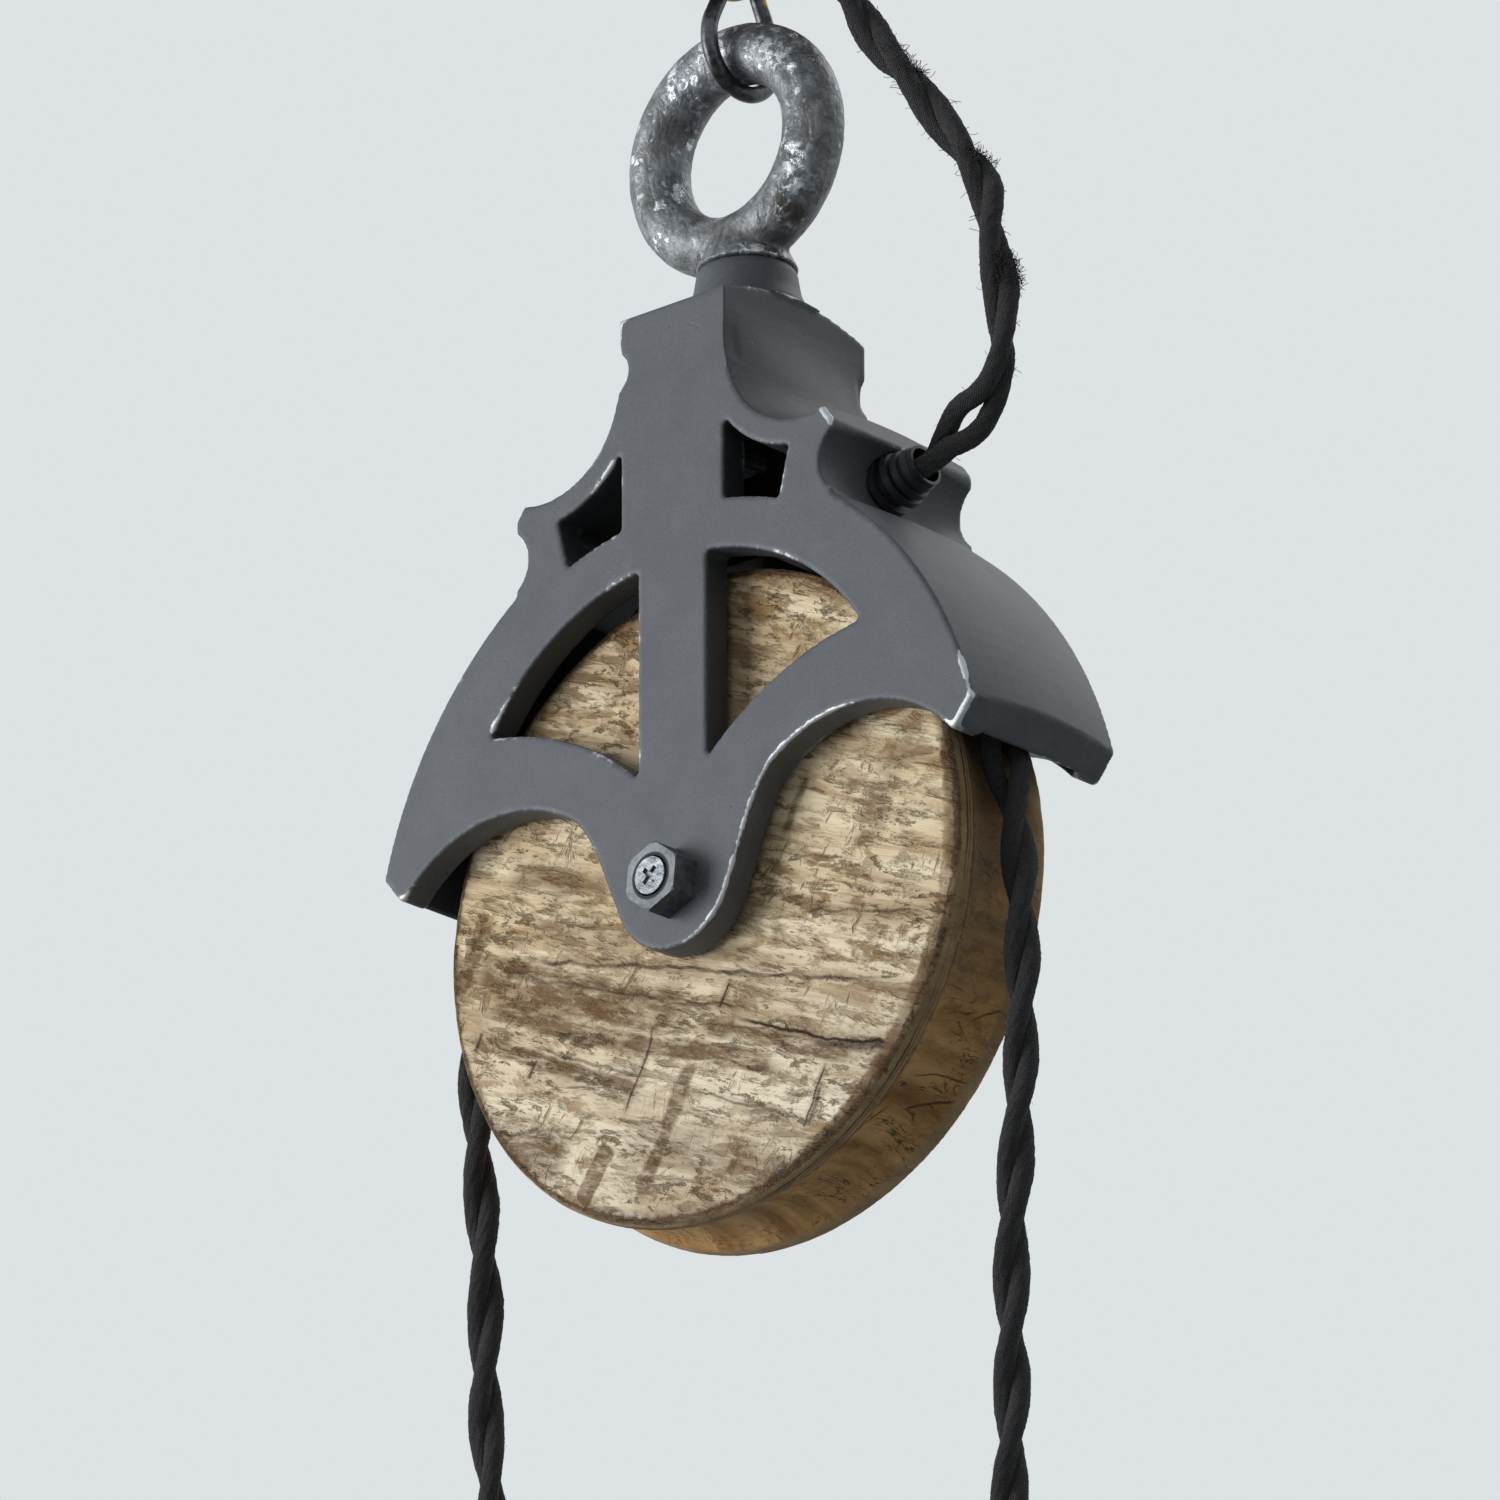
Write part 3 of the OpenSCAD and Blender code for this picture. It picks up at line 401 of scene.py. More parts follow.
def metal(name, dark, light, look):
    made, tree, skin, spot = newMaterial(name)
    cast = placed(tree, castGroup, {"Vector": spot, "Grain": look["grain"], "Wave": look["wave"]})
    grime = placed(tree, dustGroup, {"Vector": spot, "Scale": 260.0, "Amount": look["grime"]})
    colour = mixed(between(cast["Tone"], 0.38, 0.62), dark, light)
    colour = mixed(times(grime["Mask"], 0.55), colour, look["dirt"])
    surfaced(skin, {"Base Color": colour, "Roughness": scaled(cast["Tone"], 0.3, look["rough"] - 0.15),
                    "Metallic": look["metallic"]}, cast["Height"], look["bump"], 0.0003)
    return made


def patched(name, base, look):  # metal with one rubbed or dirty place on it
    made = finishes[base].copy()
    made.name = name
    skin, at = (next(n for n in made.node_tree.nodes if n.type == kind) for kind in ("BSDF_PRINCIPLED", "TEX_COORD"))
    spot, base = at.outputs["Object"], skin.inputs["Base Color"]
    away = lengthAt(vectors("MULTIPLY", vectors("SUBTRACT", spot, look["at"]), look["scale"]))
    away = plus(away, scaled(noiseAt(spot, 500.0, 4, 0.7), look["ragged"], -look["ragged"] / 2))
    mask = times(between(away, look["outer"], look["edge"]), between(away, look["hole"] - 0.0002, look["hole"]))
    plug(mixed(mask, base.links[0].from_socket, look["colour"]), base)
    return made


def moulded(name, colour, light, look):
    made, tree, skin, spot = newMaterial(name)
    cast = placed(tree, castGroup, {"Vector": spot, "Grain": 1400.0, "Wave": 90.0})
    grime = placed(tree, dustGroup, {"Vector": spot, "Scale": 700.0, "Amount": look["dust"]})
    shown = mixed(times(grime["Mask"], 0.35), mixed(cast["Tone"], colour, light), shade(150, 150, 150))
    surfaced(skin, {"Base Color": shown, "Roughness": scaled(cast["Tone"], 0.2, look["rough"] - 0.1)},
             cast["Height"], 0.2, 0.0002)
    return made


def clothCord():
    made, tree, skin, spot = newMaterial("blackBraid")
    uv = add(tree, "ShaderNodeUVMap", uv_map="weave").outputs[0]
    weave = placed(tree, braidGroup, {"Vector": uv, "Around": 18.0, "Slope": 1.0})
    lint = placed(tree, dustGroup, {"Vector": spot, "Scale": 1500.0, "Amount": 0.5})
    streak = noiseAt(mapped(uv, Scale=(16.0, 2.2, 1.0)), 3.0, 5, 0.7)
    wisps = noiseAt(mapped(uv, Scale=(26.0, 2.6, 1.0)), 2.0, 3, 0.65, 0.4)
    colour = mixed(between(streak, 0.4, 0.64), shade(12, 12, 15), shade(40, 40, 45))
    colour = mixed(between(wisps, 0.56, 0.7, 0.0, 0.55), colour, shade(92, 92, 97))
    colour = mixed(times(lint["Mask"], 0.5), colour, shade(78, 78, 84))
    colour = mixed(between(weave["Tone"], 0.25, 0.0, 0.0, 0.3), colour, shade(8, 8, 10))
    height = scaled(weave["Height"], 0.6, scaled(streak, 0.9, times(wisps, 0.8)))
    surfaced(skin, {"Base Color": colour, "Roughness": 0.9, "Sheen Weight": 0.1, "Sheen Roughness": 0.6},
             height, 1.0, 0.0008)
    return made


# tones, then places from the wheel's middle, then rings as depth, width and strength; marks are x, z, turn,
# half length, half width and strength, in millimetres and degrees
wood = {"light": shade(253, 236, 200), "mid": shade(228, 203, 162), "brown": shade(160, 124, 80),
        "paintedLight": shade(255, 245, 221), "band": shade(160, 128, 86), "fleck": shade(112, 84, 52),
        "stain": shade(108, 78, 44), "crack": shade(60, 42, 27), "rim": shade(122, 92, 58),
        "land": (shade(136, 108, 74), shade(186, 160, 122)), "groove": (shade(150, 108, 60), shade(214, 170, 112)),
        "vein": shade(66, 47, 30), "dusty": shade(140, 128, 108), "shadow": shade(72, 56, 38),
        "ring": shade(58, 42, 28), "lip": shade(84, 60, 36),
        "turn": -21, "slant": 66, "faceAt": (0.0122, 0.0132), "outerAt": (0.0662, 0.0672), "rimAt": (0.0674, 0.0684),
        "landAt": (0.0136, 0.0128), "wallAt": (0.0098, 0.0086), "floorAt": (0.05, 0.055), "lipAt": 0.0687,
        "rings": [(0.0133, 0.00035, 0.8), (0.0113, 0.00022, 1.0), (0.0104, 0.00016, 0.8), (0.0088, 0.0002, 0.9)],
        "strokes": [
            (31, -37, -20.5, 25, 0.55, 1.0), (0, -16, -16.0, 56, 0.6, 0.7), (12, -49, -24, 16, 0.45, 0.6),
            (-16.6, -33.5, 63.8, 10.4, 0.5, 0.8), (30.6, -50.4, 62.6, 8, 0.45, 0.85), (6, -23, 66, 3.6, 0.6, 0.9),
            (30.6, -52.4, 62.6, 5, 0.8, 0.7), (-21, -15.5, -20, 40, 0.5, 0.6), (42, -42, -20, 14, 1.0, 0.8),
            (-46.7, -26.5, 60, 2.4, 0.7, 0.8), (-62.3, -17.3, 68, 2.3, 0.6, 0.8), (-30, -28.5, -23, 18, 0.5, 0.6),
            (44, -14, -14, 16, 0.4, 0.5), (18, 5, -18, 24, 0.35, 0.4), (-53, -40, -24, 12, 0.4, 0.5)],
        "splits": [
            (-32, 9, 56, 5.5, 0.3, 0.7), (-46.5, 6, 74, 8.5, 0.3, 0.8), (-51.5, 7, 52, 8, 0.38, 0.9),
            (-60, -6, 40, 5, 0.5, 0.8)],
        "stains": [
            (-34, -13, -21, 34, 4.5, 0.8), (-20, -26, -22.5, 47, 2.0, 1.0), (-40, -27, -24, 29, 1.6, 0.95),
            (20, -36, -20, 24, 1.8, 0.75), (-9.8, -49.5, 65.5, 17, 1.8, 0.9), (-29, -54.6, 55.5, 7.2, 2.1, 1.8),
            (9, -60.6, 62, 4, 1.2, 0.8), (27, 13.4, 63, 8, 1.2, 0.5), (-64, 1, 60.6, 9, 2.0, 0.8),
            (-50, -44, -24, 15, 6, 0.5), (0, -57, -24, 24, 4, 0.4), (52, 12, 62, 16, 4, 0.3),
            (-10, -8, -20, 40, 2, 0.35), (-40, 12, -20, 16, 3.5, 0.35), (-3, 46, -18, 30, 3, 0.3),
            (30, 30, -18, 20, 2.5, 0.3)]}


def markedAt(vector, rows, wider, lift=0.0):  # long soft marks laid on a face, and a softer one round each
    marks = [placed(vector.id_data, strokeGroup, {
        "Vector": vector, "Middle": place(x, 0, z) - Vector((0, 0, lift)), "Turn": math.radians(turn),
        "Half length": half / 1000, "Half width": width * wider / 1000}) for x, z, turn, half, width, _ in rows]
    return [most(*(times(mark[name], row[-1]) for mark, row in zip(marks, rows))) for name in ("Mask", "Soft")]


def sawnFace(along, parts, grain):  # the colour of both faces, and the marks that also roughen them
    patch = longNoise(along, (0.45, 0.5, 1.0), 55.0, 3, 0.55)
    colour = mixed(between(grain["Streak"], 0.4, 0.6), wood["mid"], wood["light"])
    lines = longNoise(along, (0.1, 0.6, 1.0), 260.0, 3, 0.6, 0.2)
    colour = mixed(between(lines, 0.54, 0.66, 0.0, 0.6), colour, wood["brown"])
    # painted light: the face painted lighter towards its bottom
    colour = mixed(between(parts[2], 0.0, -0.055, 0.0, 0.7), colour, wood["paintedLight"])
    bands = longNoise(along, (0.14, 0.5, 1.0), 95.0, 4, 0.6, 0.35)
    colour = mixed(between(bands, 0.5, 0.62, 0.0, 0.55), colour, wood["band"])
    mottle = longNoise(along, (0.34, 0.6, 1.0), 250.0, 6, 0.72, 0.4)
    worn = times(between(mottle, 0.51, 0.59), between(patch, 0.36, 0.6, 0.2, 0.85))
    colour = mixed(worn, colour, wood["brown"])
    crumb = times(between(longNoise(along, (0.32, 0.6, 1.0), 520.0, 5, 0.74, 0.35), 0.55, 0.63),
                  between(longNoise(along, (0.5, 0.5, 1.0), 80.0, 2, 0.5), 0.42, 0.58, 0.2, 1.0))
    slant = turned(along, math.radians(wood["slant"]))
    nick = times(between(longNoise(slant, (0.3, 0.6, 1.0), 420.0, 3, 0.6, 0.3), 0.62, 0.68),
                 between(noiseAt(along, 60.0, 2, 0.5), 0.48, 0.6, 0.0, 0.8))
    dash = times(between(grain["Dash"], 0.53, 0.63), between(patch, 0.64, 0.4, 0.3, 1.0))
    chatter = times(between(grain["Chatter"], 0.58, 0.68), between(noiseAt(along, 48.0, 2, 0.5), 0.5, 0.62, 0.0, 0.8))
    marks = times(most(crumb, dash, chatter, nick), between(size(parts[1]), *wood["faceAt"]))
    return mixed(times(marks, 0.7), colour, wood["fleck"]), marks, worn


def grooveWall(centred, parts, wobble, uneven):  # end grain, veins and splits in the groove
    across = longNoise(centred, (1.0, 0.12, 1.0), 120.0, 4, 0.6, 0.6)
    inside = mixed(between(across, 0.36, 0.62), *wood["groove"])
    veins = longNoise(centred, (1.0, 0.14, 1.0), 260.0, 3, 0.6, 0.8)
    veins = times(between(size(minus(veins, 0.5)), 0.018, 0.004), between(uneven, 0.45, 0.6))
    unrolled = joined(times(sums("ARCTAN2", parts[2], parts[0]), 0.062), 0.0, parts[1])
    unrolled = vectors("MULTIPLY_ADD", wobble, (0.0016, 0.0, 0.0016), unrolled)
    inside = mixed(most(veins, markedAt(unrolled, wood["splits"], 1.0, axleHeight)[0]), inside, wood["vein"])
    upper = times(between(parts[2], -0.034, -0.028), between(uneven, 0.3, 0.6))
    inside = mixed(times(upper, 0.6), inside, wood["dusty"])
    return mixed(between(parts[2], -0.012, 0.014, 0.0, 0.6), inside, wood["shadow"])


def sawnWood():
    made, tree, skin, spot = newMaterial("sawnWood")
    centred = mapped(spot, Location=-place(0, 0, 0))
    along = turned(centred, math.radians(wood["turn"]))
    grain, parts = placed(tree, grainGroup, {"Vector": along}), partsOf(centred)
    colour, marks, worn = sawnFace(along, parts, grain)

    # cracks and stains on the front face, each bent a little
    front = between(parts[1], -0.004, -0.008)
    wobble, bend = shake(centred, 170.0, 5.0), shake(centred, 26.0, 1.0)
    wavy = vectors("MULTIPLY_ADD", wobble, (0.0028, 0.0028, 0.0028), centred)
    wavy = vectors("ADD", wavy, vectors("MULTIPLY", bend, (0.006, 0.006, 0.006)))
    ragged = longNoise(along, (0.28, 0.6, 1.0), 380.0, 5, 0.7, 0.3)
    cracks, haze = markedAt(wavy, wood["strokes"], 1.0, axleHeight)
    stains = between(markedAt(wavy, wood["stains"], 1.4, axleHeight)[0], 0.0, 0.6)
    stains = times(stains, between(ragged, 0.38, 0.54, 0.42, 1.0))
    haze = times(haze, between(ragged, 0.4, 0.6, 0.15, 0.6))
    colour = mixed(times(most(stains, haze), front, 0.86), colour, wood["stain"])
    colour = mixed(times(cracks, front), colour, wood["crack"])

    # the bevelled rim, the land between it and the groove, and the groove
    radius = lengthAt(joined(parts[0], 0.0, parts[2]))
    uneven = noiseAt(centred, 90.0, 3, 0.6)
    ragEdge = scaled(noiseAt(centred, 420.0, 4, 0.7), 0.003, -0.0015)
    ragged = plus(radius, ragEdge)
    onRight = times(between(parts[0], 0.026, 0.05), between(parts[2], 0.03, 0.0))
    rim = times(between(scaled(onRight, 0.0024, ragged), *wood["rimAt"]), between(uneven, 0.3, 0.6, 0.35, 0.95))
    colour = mixed(rim, colour, wood["rim"])
    depth = size(plus(parts[1], times(ragEdge, 0.25)))
    outer = between(radius, *wood["outerAt"])
    land = times(outer, between(depth, *wood["landAt"]), 0.85)
    colour = mixed(land, colour, mixed(between(uneven, 0.36, 0.64), *wood["land"]))
    groove = times(between(depth, *wood["wallAt"]), between(radius, *wood["floorAt"]), 0.92)
    colour = mixed(groove, colour, grooveWall(centred, parts, wobble, uneven))

    # thin turned rings on the land, and the rim's dark lip
    rings = most(*(times(between(size(minus(depth, at)), width * 1.8, width * 0.6), share)
                   for at, width, share in wood["rings"]))
    rings = times(rings, outer, front, between(noiseAt(centred, 42.0, 3, 0.6), 0.4, 0.56, 0.15, 1.0))
    colour = mixed(times(rings, 0.85), colour, wood["ring"])
    lip = times(between(size(minus(ragged, wood["lipAt"])), 0.0006, 0.0002), front)
    colour = mixed(times(lip, 0.7), colour, wood["lip"])
    height = scaled(grain["Fibre"], 0.35, times(grain["Streak"], 0.5))
    height = minus(minus(height, times(marks, 0.55)), times(worn, 0.3))
    surfaced(skin, {"Base Color": colour, "Specular IOR Level": 0.25,
                    "Roughness": between(grain["Dash"], 0.3, 0.7, 0.62, 0.82)}, height, 1.0, 0.0009)
    return made


eyeLook = {"middle": (-1.6, 0, 171.5),
           "bright": [
               (-14.2, 189.8, 90, 5.8, 1.3, 1.0), (-11, 182, 84, 5, 0.9, 0.8), (-23.6, 169.5, 96, 5.2, 1.0, 0.6),
               (-9.4, 171.1, 96, 5.2, 1.3, 0.4), (-19.1, 153.9, 48, 2.2, 1.3, 1.0), (19.8, 160.1, 77, 6.0, 2.3, 1.0),
               (16.8, 166, 80, 4, 0.9, 0.7), (26.4, 161.5, 48, 2.5, 1.6, 0.6), (10.7, 144.2, -8, 4.9, 1.1, 0.9),
               (13.4, 188.3, -31, 6, 3.6, 0.7), (21.6, 177.1, -17, 1.5, 1.0, 0.8), (28.1, 174.4, -17, 1.3, 1.0, 0.6),
               (-6.3, 144.1, 84, 3.4, 0.5, 1.0), (16, 153, 60, 5, 0.9, 0.8)],
           "brown": [(18.9, 148.9, -52, 8.5, 2.2, 1.0), (-8, 163, 88, 9, 2.2, 0.6), (24, 168, 80, 8, 2.4, 0.4),
                     (14, 143.5, 0, 5, 1.2, 0.7)]}


def flakes(chance, away, worked, share):  # small bright cells, more of them where the eye is worked
    limit = minus(0.97, times(worked, share))
    return times(between(chance, limit, plus(limit, 0.02)), between(away, 0.7, 0.45))


def hammeredMetal():
    made, tree, skin, spot = newMaterial("hammeredGrey")
    centred = mapped(spot, Location=-place(*eyeLook["middle"]))
    parts = partsOf(centred)
    cast = placed(tree, castGroup, {"Vector": spot, "Grain": 900.0, "Wave": 130.0})

    # bright flakes, most of them at the top, at the left and inside the hole
    inner = lengthAt(vectors("MULTIPLY", vectors("SUBTRACT", centred, (0.013, 0.0, -0.002)), (1.4, 0.6, 0.7)))
    worked = most(between(parts[2], 0.008, 0.02), between(parts[0], -0.008, -0.024, 0.0, 0.75))
    worked = most(worked, between(inner, 0.012, 0.004))
    worked = times(worked, between(noiseAt(spot, 120.0, 2, 0.5), 0.38, 0.6))
    bent = noiseAt(spot, 230.0, 3, 0.6)
    chipAt = vectors("ADD", spot, joined(times(bent, 0.006), 0.0, times(bent, -0.006)))
    large, small = cellsAt(chipAt, 400.0), cellsAt(chipAt, 900.0)
    picks = [add(tree, "ShaderNodeSeparateColor", {0: cells["Color"]}).outputs for cells in (large, small)]
    chips = most(flakes(picks[0][0], large["Distance"], worked, 0.3),
                 times(flakes(picks[1][1], small["Distance"], worked, 0.1), 0.45))
    chips = times(chips, between(noiseAt(spot, 700.0, 3, 0.6), 0.38, 0.54, 0.25, 0.95))
    front = between(parts[1], 0.004, -0.001)
    shaken = vectors("MULTIPLY_ADD", shake(spot, 420.0, 4.0), (0.004, 0.004, 0.004), spot)
    scraped = times(markedAt(shaken, eyeLook["bright"], 1.3)[0], front)
    chips = most(chips, times(scraped, between(noiseAt(spot, 520.0, 3, 0.6), 0.46, 0.56), 0.88))

    creases = noiseAt(mapped(spot, Scale=(1.0, 1.0, 0.5)), 260.0, 3, 0.55, 0.5)
    colour = mixed(between(cast["Tone"], 0.38, 0.62), shade(102, 106, 110), shade(148, 153, 158))
    colour = mixed(between(creases, 0.48, 0.36, 0.0, 0.5), colour, shade(58, 58, 56))
    brown = most(between(noiseAt(spot, 70.0, 3, 0.6), 0.5, 0.66, 0.0, 0.55),
                 times(markedAt(shaken, eyeLook["brown"], 1.2)[0], front, 0.9))
    colour = mixed(brown, colour, shade(70, 66, 56))
    colour = mixed(times(kept(tree, "edgeWearAndHighlight"), 0.3), colour, shade(170, 174, 178))
    surfaced(skin, {"Base Color": mixed(chips, colour, shade(222, 226, 232)), "Metallic": scaled(chips, 0.35, 0.45),
                    "Roughness": scaled(cast["Tone"], 0.25, 0.36)},
             scaled(chips, 0.25, scaled(creases, 1.3, cast["Height"])), 0.8, 0.0008)
    return made


finishes = {
    "casting": castIron("castIron", shade(74, 79, 85), shade(90, 95, 101), shade(200, 204, 208), {
        "grain": 2400.0, "wave": 90.0, "worn": 0.45, "rough": 0.56, "speck": 1700.0, "specks": shade(52, 56, 61),
        # the colour of the painted shade in the hood and the scoop
        "hollow": shade(26, 26, 26)}),
    "zinc": metal("wornZinc", shade(80, 83, 87), shade(118, 122, 127), {
        "grain": 900.0, "wave": 160.0, "grime": 0.35, "dirt": shade(52, 52, 54), "rough": 0.5, "metallic": 0.75,
        "bump": 0.3}),
    "dark": metal("darkSteel", shade(58, 59, 62), shade(96, 98, 102), {
        "grain": 800.0, "wave": 200.0, "grime": 0.4, "dirt": shade(30, 30, 32), "rough": 0.34, "metallic": 0.9,
        "bump": 0.4}),
    "brass": metal("agedBrass", shade(120, 92, 48), shade(176, 142, 84), {
        "grain": 900.0, "wave": 120.0, "grime": 0.3, "dirt": shade(62, 48, 30), "rough": 0.36, "metallic": 1.0,
        "bump": 0.25}),
    "boltEnd": metal("scuffedEnd", shade(98, 102, 108), shade(158, 162, 168), {
        "grain": 1600.0, "wave": 700.0, "grime": 0.5, "dirt": shade(70, 72, 76), "rough": 0.45, "metallic": 0.7,
        "bump": 0.8}),
    "rubber": moulded("blackRubber", shade(24, 25, 27), shade(40, 41, 44), {"rough": 0.55, "dust": 0.2}),
    "rose": moulded("satinBlack", shade(28, 29, 31), shade(38, 39, 42), {"rough": 0.42, "dust": 0.15}),
    "block": moulded("brownBakelite", shade(30, 22, 19), shade(44, 33, 28), {"rough": 0.4, "dust": 0.25}),
    "eye": hammeredMetal(),
    "wood": sawnWood(),
    "cloth": clothCord(),
}
finishes["ring"] = patched("rubbedRing", "dark", {
    "at": place(0, 7.5, 209), "scale": (1, 1, 0.7), "ragged": 0.0034, "outer": 0.0034, "edge": 0.0024, "hole": -1,
    "colour": shade(184, 148, 84)})
finishes["nut"] = patched("ringedNut", "zinc", {
    "at": place(0, 0, 0), "scale": (1, 0, 1), "ragged": 0.0002, "outer": 0.0052, "edge": 0.0049, "hole": 0.0039,
    "colour": shade(30, 31, 33)})
print("finishes", len(finishes))

# ---- meshes ----


def freshCopy(node, name):  # a merged copy of a CAD node's mesh, with its own plain normals
    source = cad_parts[node].data
    piece = newPiece(name, [v.co for v in source.vertices], [p.vertices[:] for p in source.polygons])
    work = bmesh.new()
    work.from_mesh(piece.data)
    bmesh.ops.remove_doubles(work, verts=work.verts, dist=2e-6)
    work.to_mesh(piece.data)
    work.free()
    return piece


def settled(piece):  # its modifiers made part of the mesh
    bpy.context.view_layer.update()
    result = bpy.data.meshes.new_from_object(piece.evaluated_get(bpy.context.evaluated_depsgraph_get()))
    piece.modifiers.clear()
    old, piece.data = piece.data, result
    bpy.data.meshes.remove(old)
    return piece


def neighbours(mesh):
    ends = np.zeros(len(mesh.edges) * 2, int)
    mesh.edges.foreach_get("vertices", ends)
    ends = ends.reshape(-1, 2)
    count = np.bincount(ends.ravel(), minlength=len(mesh.vertices)).astype(float)

    def average(values):
        total = [np.bincount(ends[:, 0], values[ends[:, 1], k], len(count))
                 + np.bincount(ends[:, 1], values[ends[:, 0], k], len(count)) for k in range(values.shape[1])]
        return np.stack(total, 1) / count[:, None]
    return average


def spotsOf(mesh, items="vertices", key="co"):
    values = np.zeros(len(mesh.vertices) * 3)
    getattr(mesh, items).foreach_get(key, values)
    return values.reshape(-1, 3)


def normalsOf(mesh):
    return spotsOf(mesh, "vertex_normals", "vector")


def moveTo(mesh, co):
    mesh.vertices.foreach_set("co", co.ravel())
    mesh.update()


def keepValue(mesh, name, values):
    mesh.attributes.new(name, "FLOAT", "POINT").data.foreach_set("value", values.astype(np.float32))


def eased(t):
    t = np.clip(t, 0, 1)
    return t * t * (3 - 2 * t)


def relaxed(mesh, co, rounds, back, share=1.0):  # smooths and swells again, so that nothing shrinks
    average = neighbours(mesh)
    for _ in range(rounds):
        co = co + 0.5 * share * (average(co) - co)
        co = co - back * share * (average(co) - co)
    return co


def softened(piece, look):  # an even skin over a cast or sawn piece, its edges eased
    skin = piece.modifiers.new("skin", "REMESH")
    skin.mode, skin.voxel_size, skin.adaptivity = "VOXEL", look["voxel"], 0
    mesh = settled(piece).data
    moveTo(mesh, relaxed(mesh, spotsOf(mesh), look["rounds"], 0.52))
    mesh.polygons.foreach_set("use_smooth", [True] * len(mesh.polygons))
    return piece


def keepEdges(mesh, look):  # how far each point stands out on an edge, for the wear and the painted edge highlight
    average, co = neighbours(mesh), spotsOf(mesh)
    bulge = -((average(co) - co) * normalsOf(mesh)).sum(1) / look["voxel"]
    bulge = average(average(bulge[:, None]))[:, 0]
    strength = np.full(len(co), look["wearAndHighlight"])
    for x, y, z, reach, extra in look.get("rubbed", ()):
        near = np.exp(-((co - np.array(place(x, y, z))) ** 2).sum(1) / (reach / 1000) ** 2)
        strength += look["wearAndHighlight"] * extra * near
    keepValue(mesh, "edgeWearAndHighlight", np.clip(bulge * strength, 0, 1.4))


def finish(piece, material, body, node):
    piece.data.materials.clear()
    piece.data.materials.append(finishes[material])
    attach(piece, body)
    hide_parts(node)
    print(piece.name, len(piece.data.polygons))


# ---- the casting ----

casting = {"voxel": 0.0006, "rounds": 2, "wearAndHighlight": 4.0, "thin": 0.44, "cheek": 22.5, "crown": 14.6,
           "brow": (110.5, 127.5), "scoopAt": (36.3, 114.9), "scoopR": 21.2, "arch": 3.0, "hood": (-10.3, -2.3, 90.4),
           "mouth": (48, -9.7, 38.5),
           "rubbed": [(26.9, -22.5, 20.2, 5, 1.2), (20, -22.5, 11, 6, 1.6), (15.3, -22.5, -0.8, 6, 1.6),
                      (10, -22.5, -8.5, 6, 1.4), (5, -22.5, -12.4, 4, 1), (34, -22.5, 24, 7, 0.9),
                      (44, -22.5, 26.5, 7, 0.7), (77.7, -22.5, 17.4, 4, 3), (80, -22.5, 28.2, 3, 3),
                      (42.8, -22.5, 92.5, 2.2, 3), (-14.1, -22.5, 127.6, 3, 3), (-20, -22.5, 99, 8, 0.6),
                      (-50, -22.5, 45, 5, 0.8), (-31, -22.5, 39.4, 9, 0.4), (-40, -22.5, 56, 12, 0.4)]}


def inMillimetres(co):
    return co[:, 0] * 1000, co[:, 1] * 1000, (co[:, 2] - axleHeight) * 1000


def fairCrown(co):  # one smooth hollow from the crown's brow down to the ear, between the two cheeks
    x, y, z = inMillimetres(co)
    radius = casting["scoopR"] - casting["arch"] * (1 - np.clip(np.abs(y) / casting["cheek"], 0, 1) ** 2)
    low, high = casting["brow"]
    below = low - casting["scoopAt"][1]
    drop = np.sqrt(radius ** 2 - below ** 2)
    t = np.clip((z - low) / (high - low), 0, 1)
    wanted = ((2 * t ** 3 - 3 * t ** 2 + 1) * (casting["scoopAt"][0] - drop)
              + (t ** 3 - 2 * t ** 2 + t) * below / drop * (high - low)
              + (-2 * t ** 3 + 3 * t ** 2) * casting["crown"])
    here = (z > low) * (np.abs(x) < 24) * (np.abs(x) > 11.5) * eased((131.6 - z) / 3)
    inner = eased((casting["cheek"] - 0.6 - np.abs(y)) / 3.2)
    amount = np.maximum(inner, 0.85 * (x > 0) * (y < 0)) * here
    co[:, 0] += np.sign(x) * np.maximum(wanted - np.abs(x), 0) * amount / 1000
    waist = 1.1 * np.exp(-((z - 117.4) / 4.6) ** 2) * (x < 0) * eased((-11 - y) / 5) * eased((20 - np.abs(x)) / 5)
    co[:, 0] += waist * eased((np.abs(x) - 9) / 4) / 1000
    spread = eased((z - 131.5) / 3) * (np.hypot(x, y) > 7) * (np.hypot(x, y) < 16)
    co[:, 0] += spread * (0.75 + x * 0.1) / 1000
    co[:, 1] += spread * (0.66 + y * 0.1) / 1000
    return co


def hollows(co):  # painted shade: how dark each point is painted, inside the hood and in the scoop beside the crown, where shade falls
    x, y, z = inMillimetres(co)
    inside = eased((casting["cheek"] - 0.3 - np.abs(y)) / 0.5)
    hoodX, hoodZ, hoodR = casting["hood"]
    mouthX, mouthZ, mouthR = casting["mouth"]
    hoodShade = eased((hoodR - np.hypot(np.abs(x) - hoodX, z - hoodZ)) / 2) * (z < 80)
    hoodShade += (z >= 80) * (np.abs(x) < 33) * (z < 109)
    hoodShade *= (np.hypot(np.abs(x) - mouthX, z - mouthZ) > mouthR) * ((z > 16) | (np.abs(x) > 30)) * (np.abs(y) < 22)
    away = np.hypot(x - casting["scoopAt"][0], z - casting["scoopAt"][1])
    scoopShade = (x > 13) * (z > 90) * (away < 23.5) * inside * (0.3 + 0.12 * eased((z - 96) / 26))
    return np.maximum(hoodShade * np.where(z > 80, 0.75, 0.45) * inside, scoopShade)


def thinned(piece, share):  # fewer faces where little bends, with each normal leaning to its larger faces
    fewer = piece.modifiers.new("fewer", "DECIMATE")
    fewer.ratio, fewer.use_collapse_triangulate = share, True
    level = piece.modifiers.new("level", "WEIGHTED_NORMAL")
    level.mode, level.weight, level.keep_sharp = "FACE_AREA", 50, False
    return settled(piece)


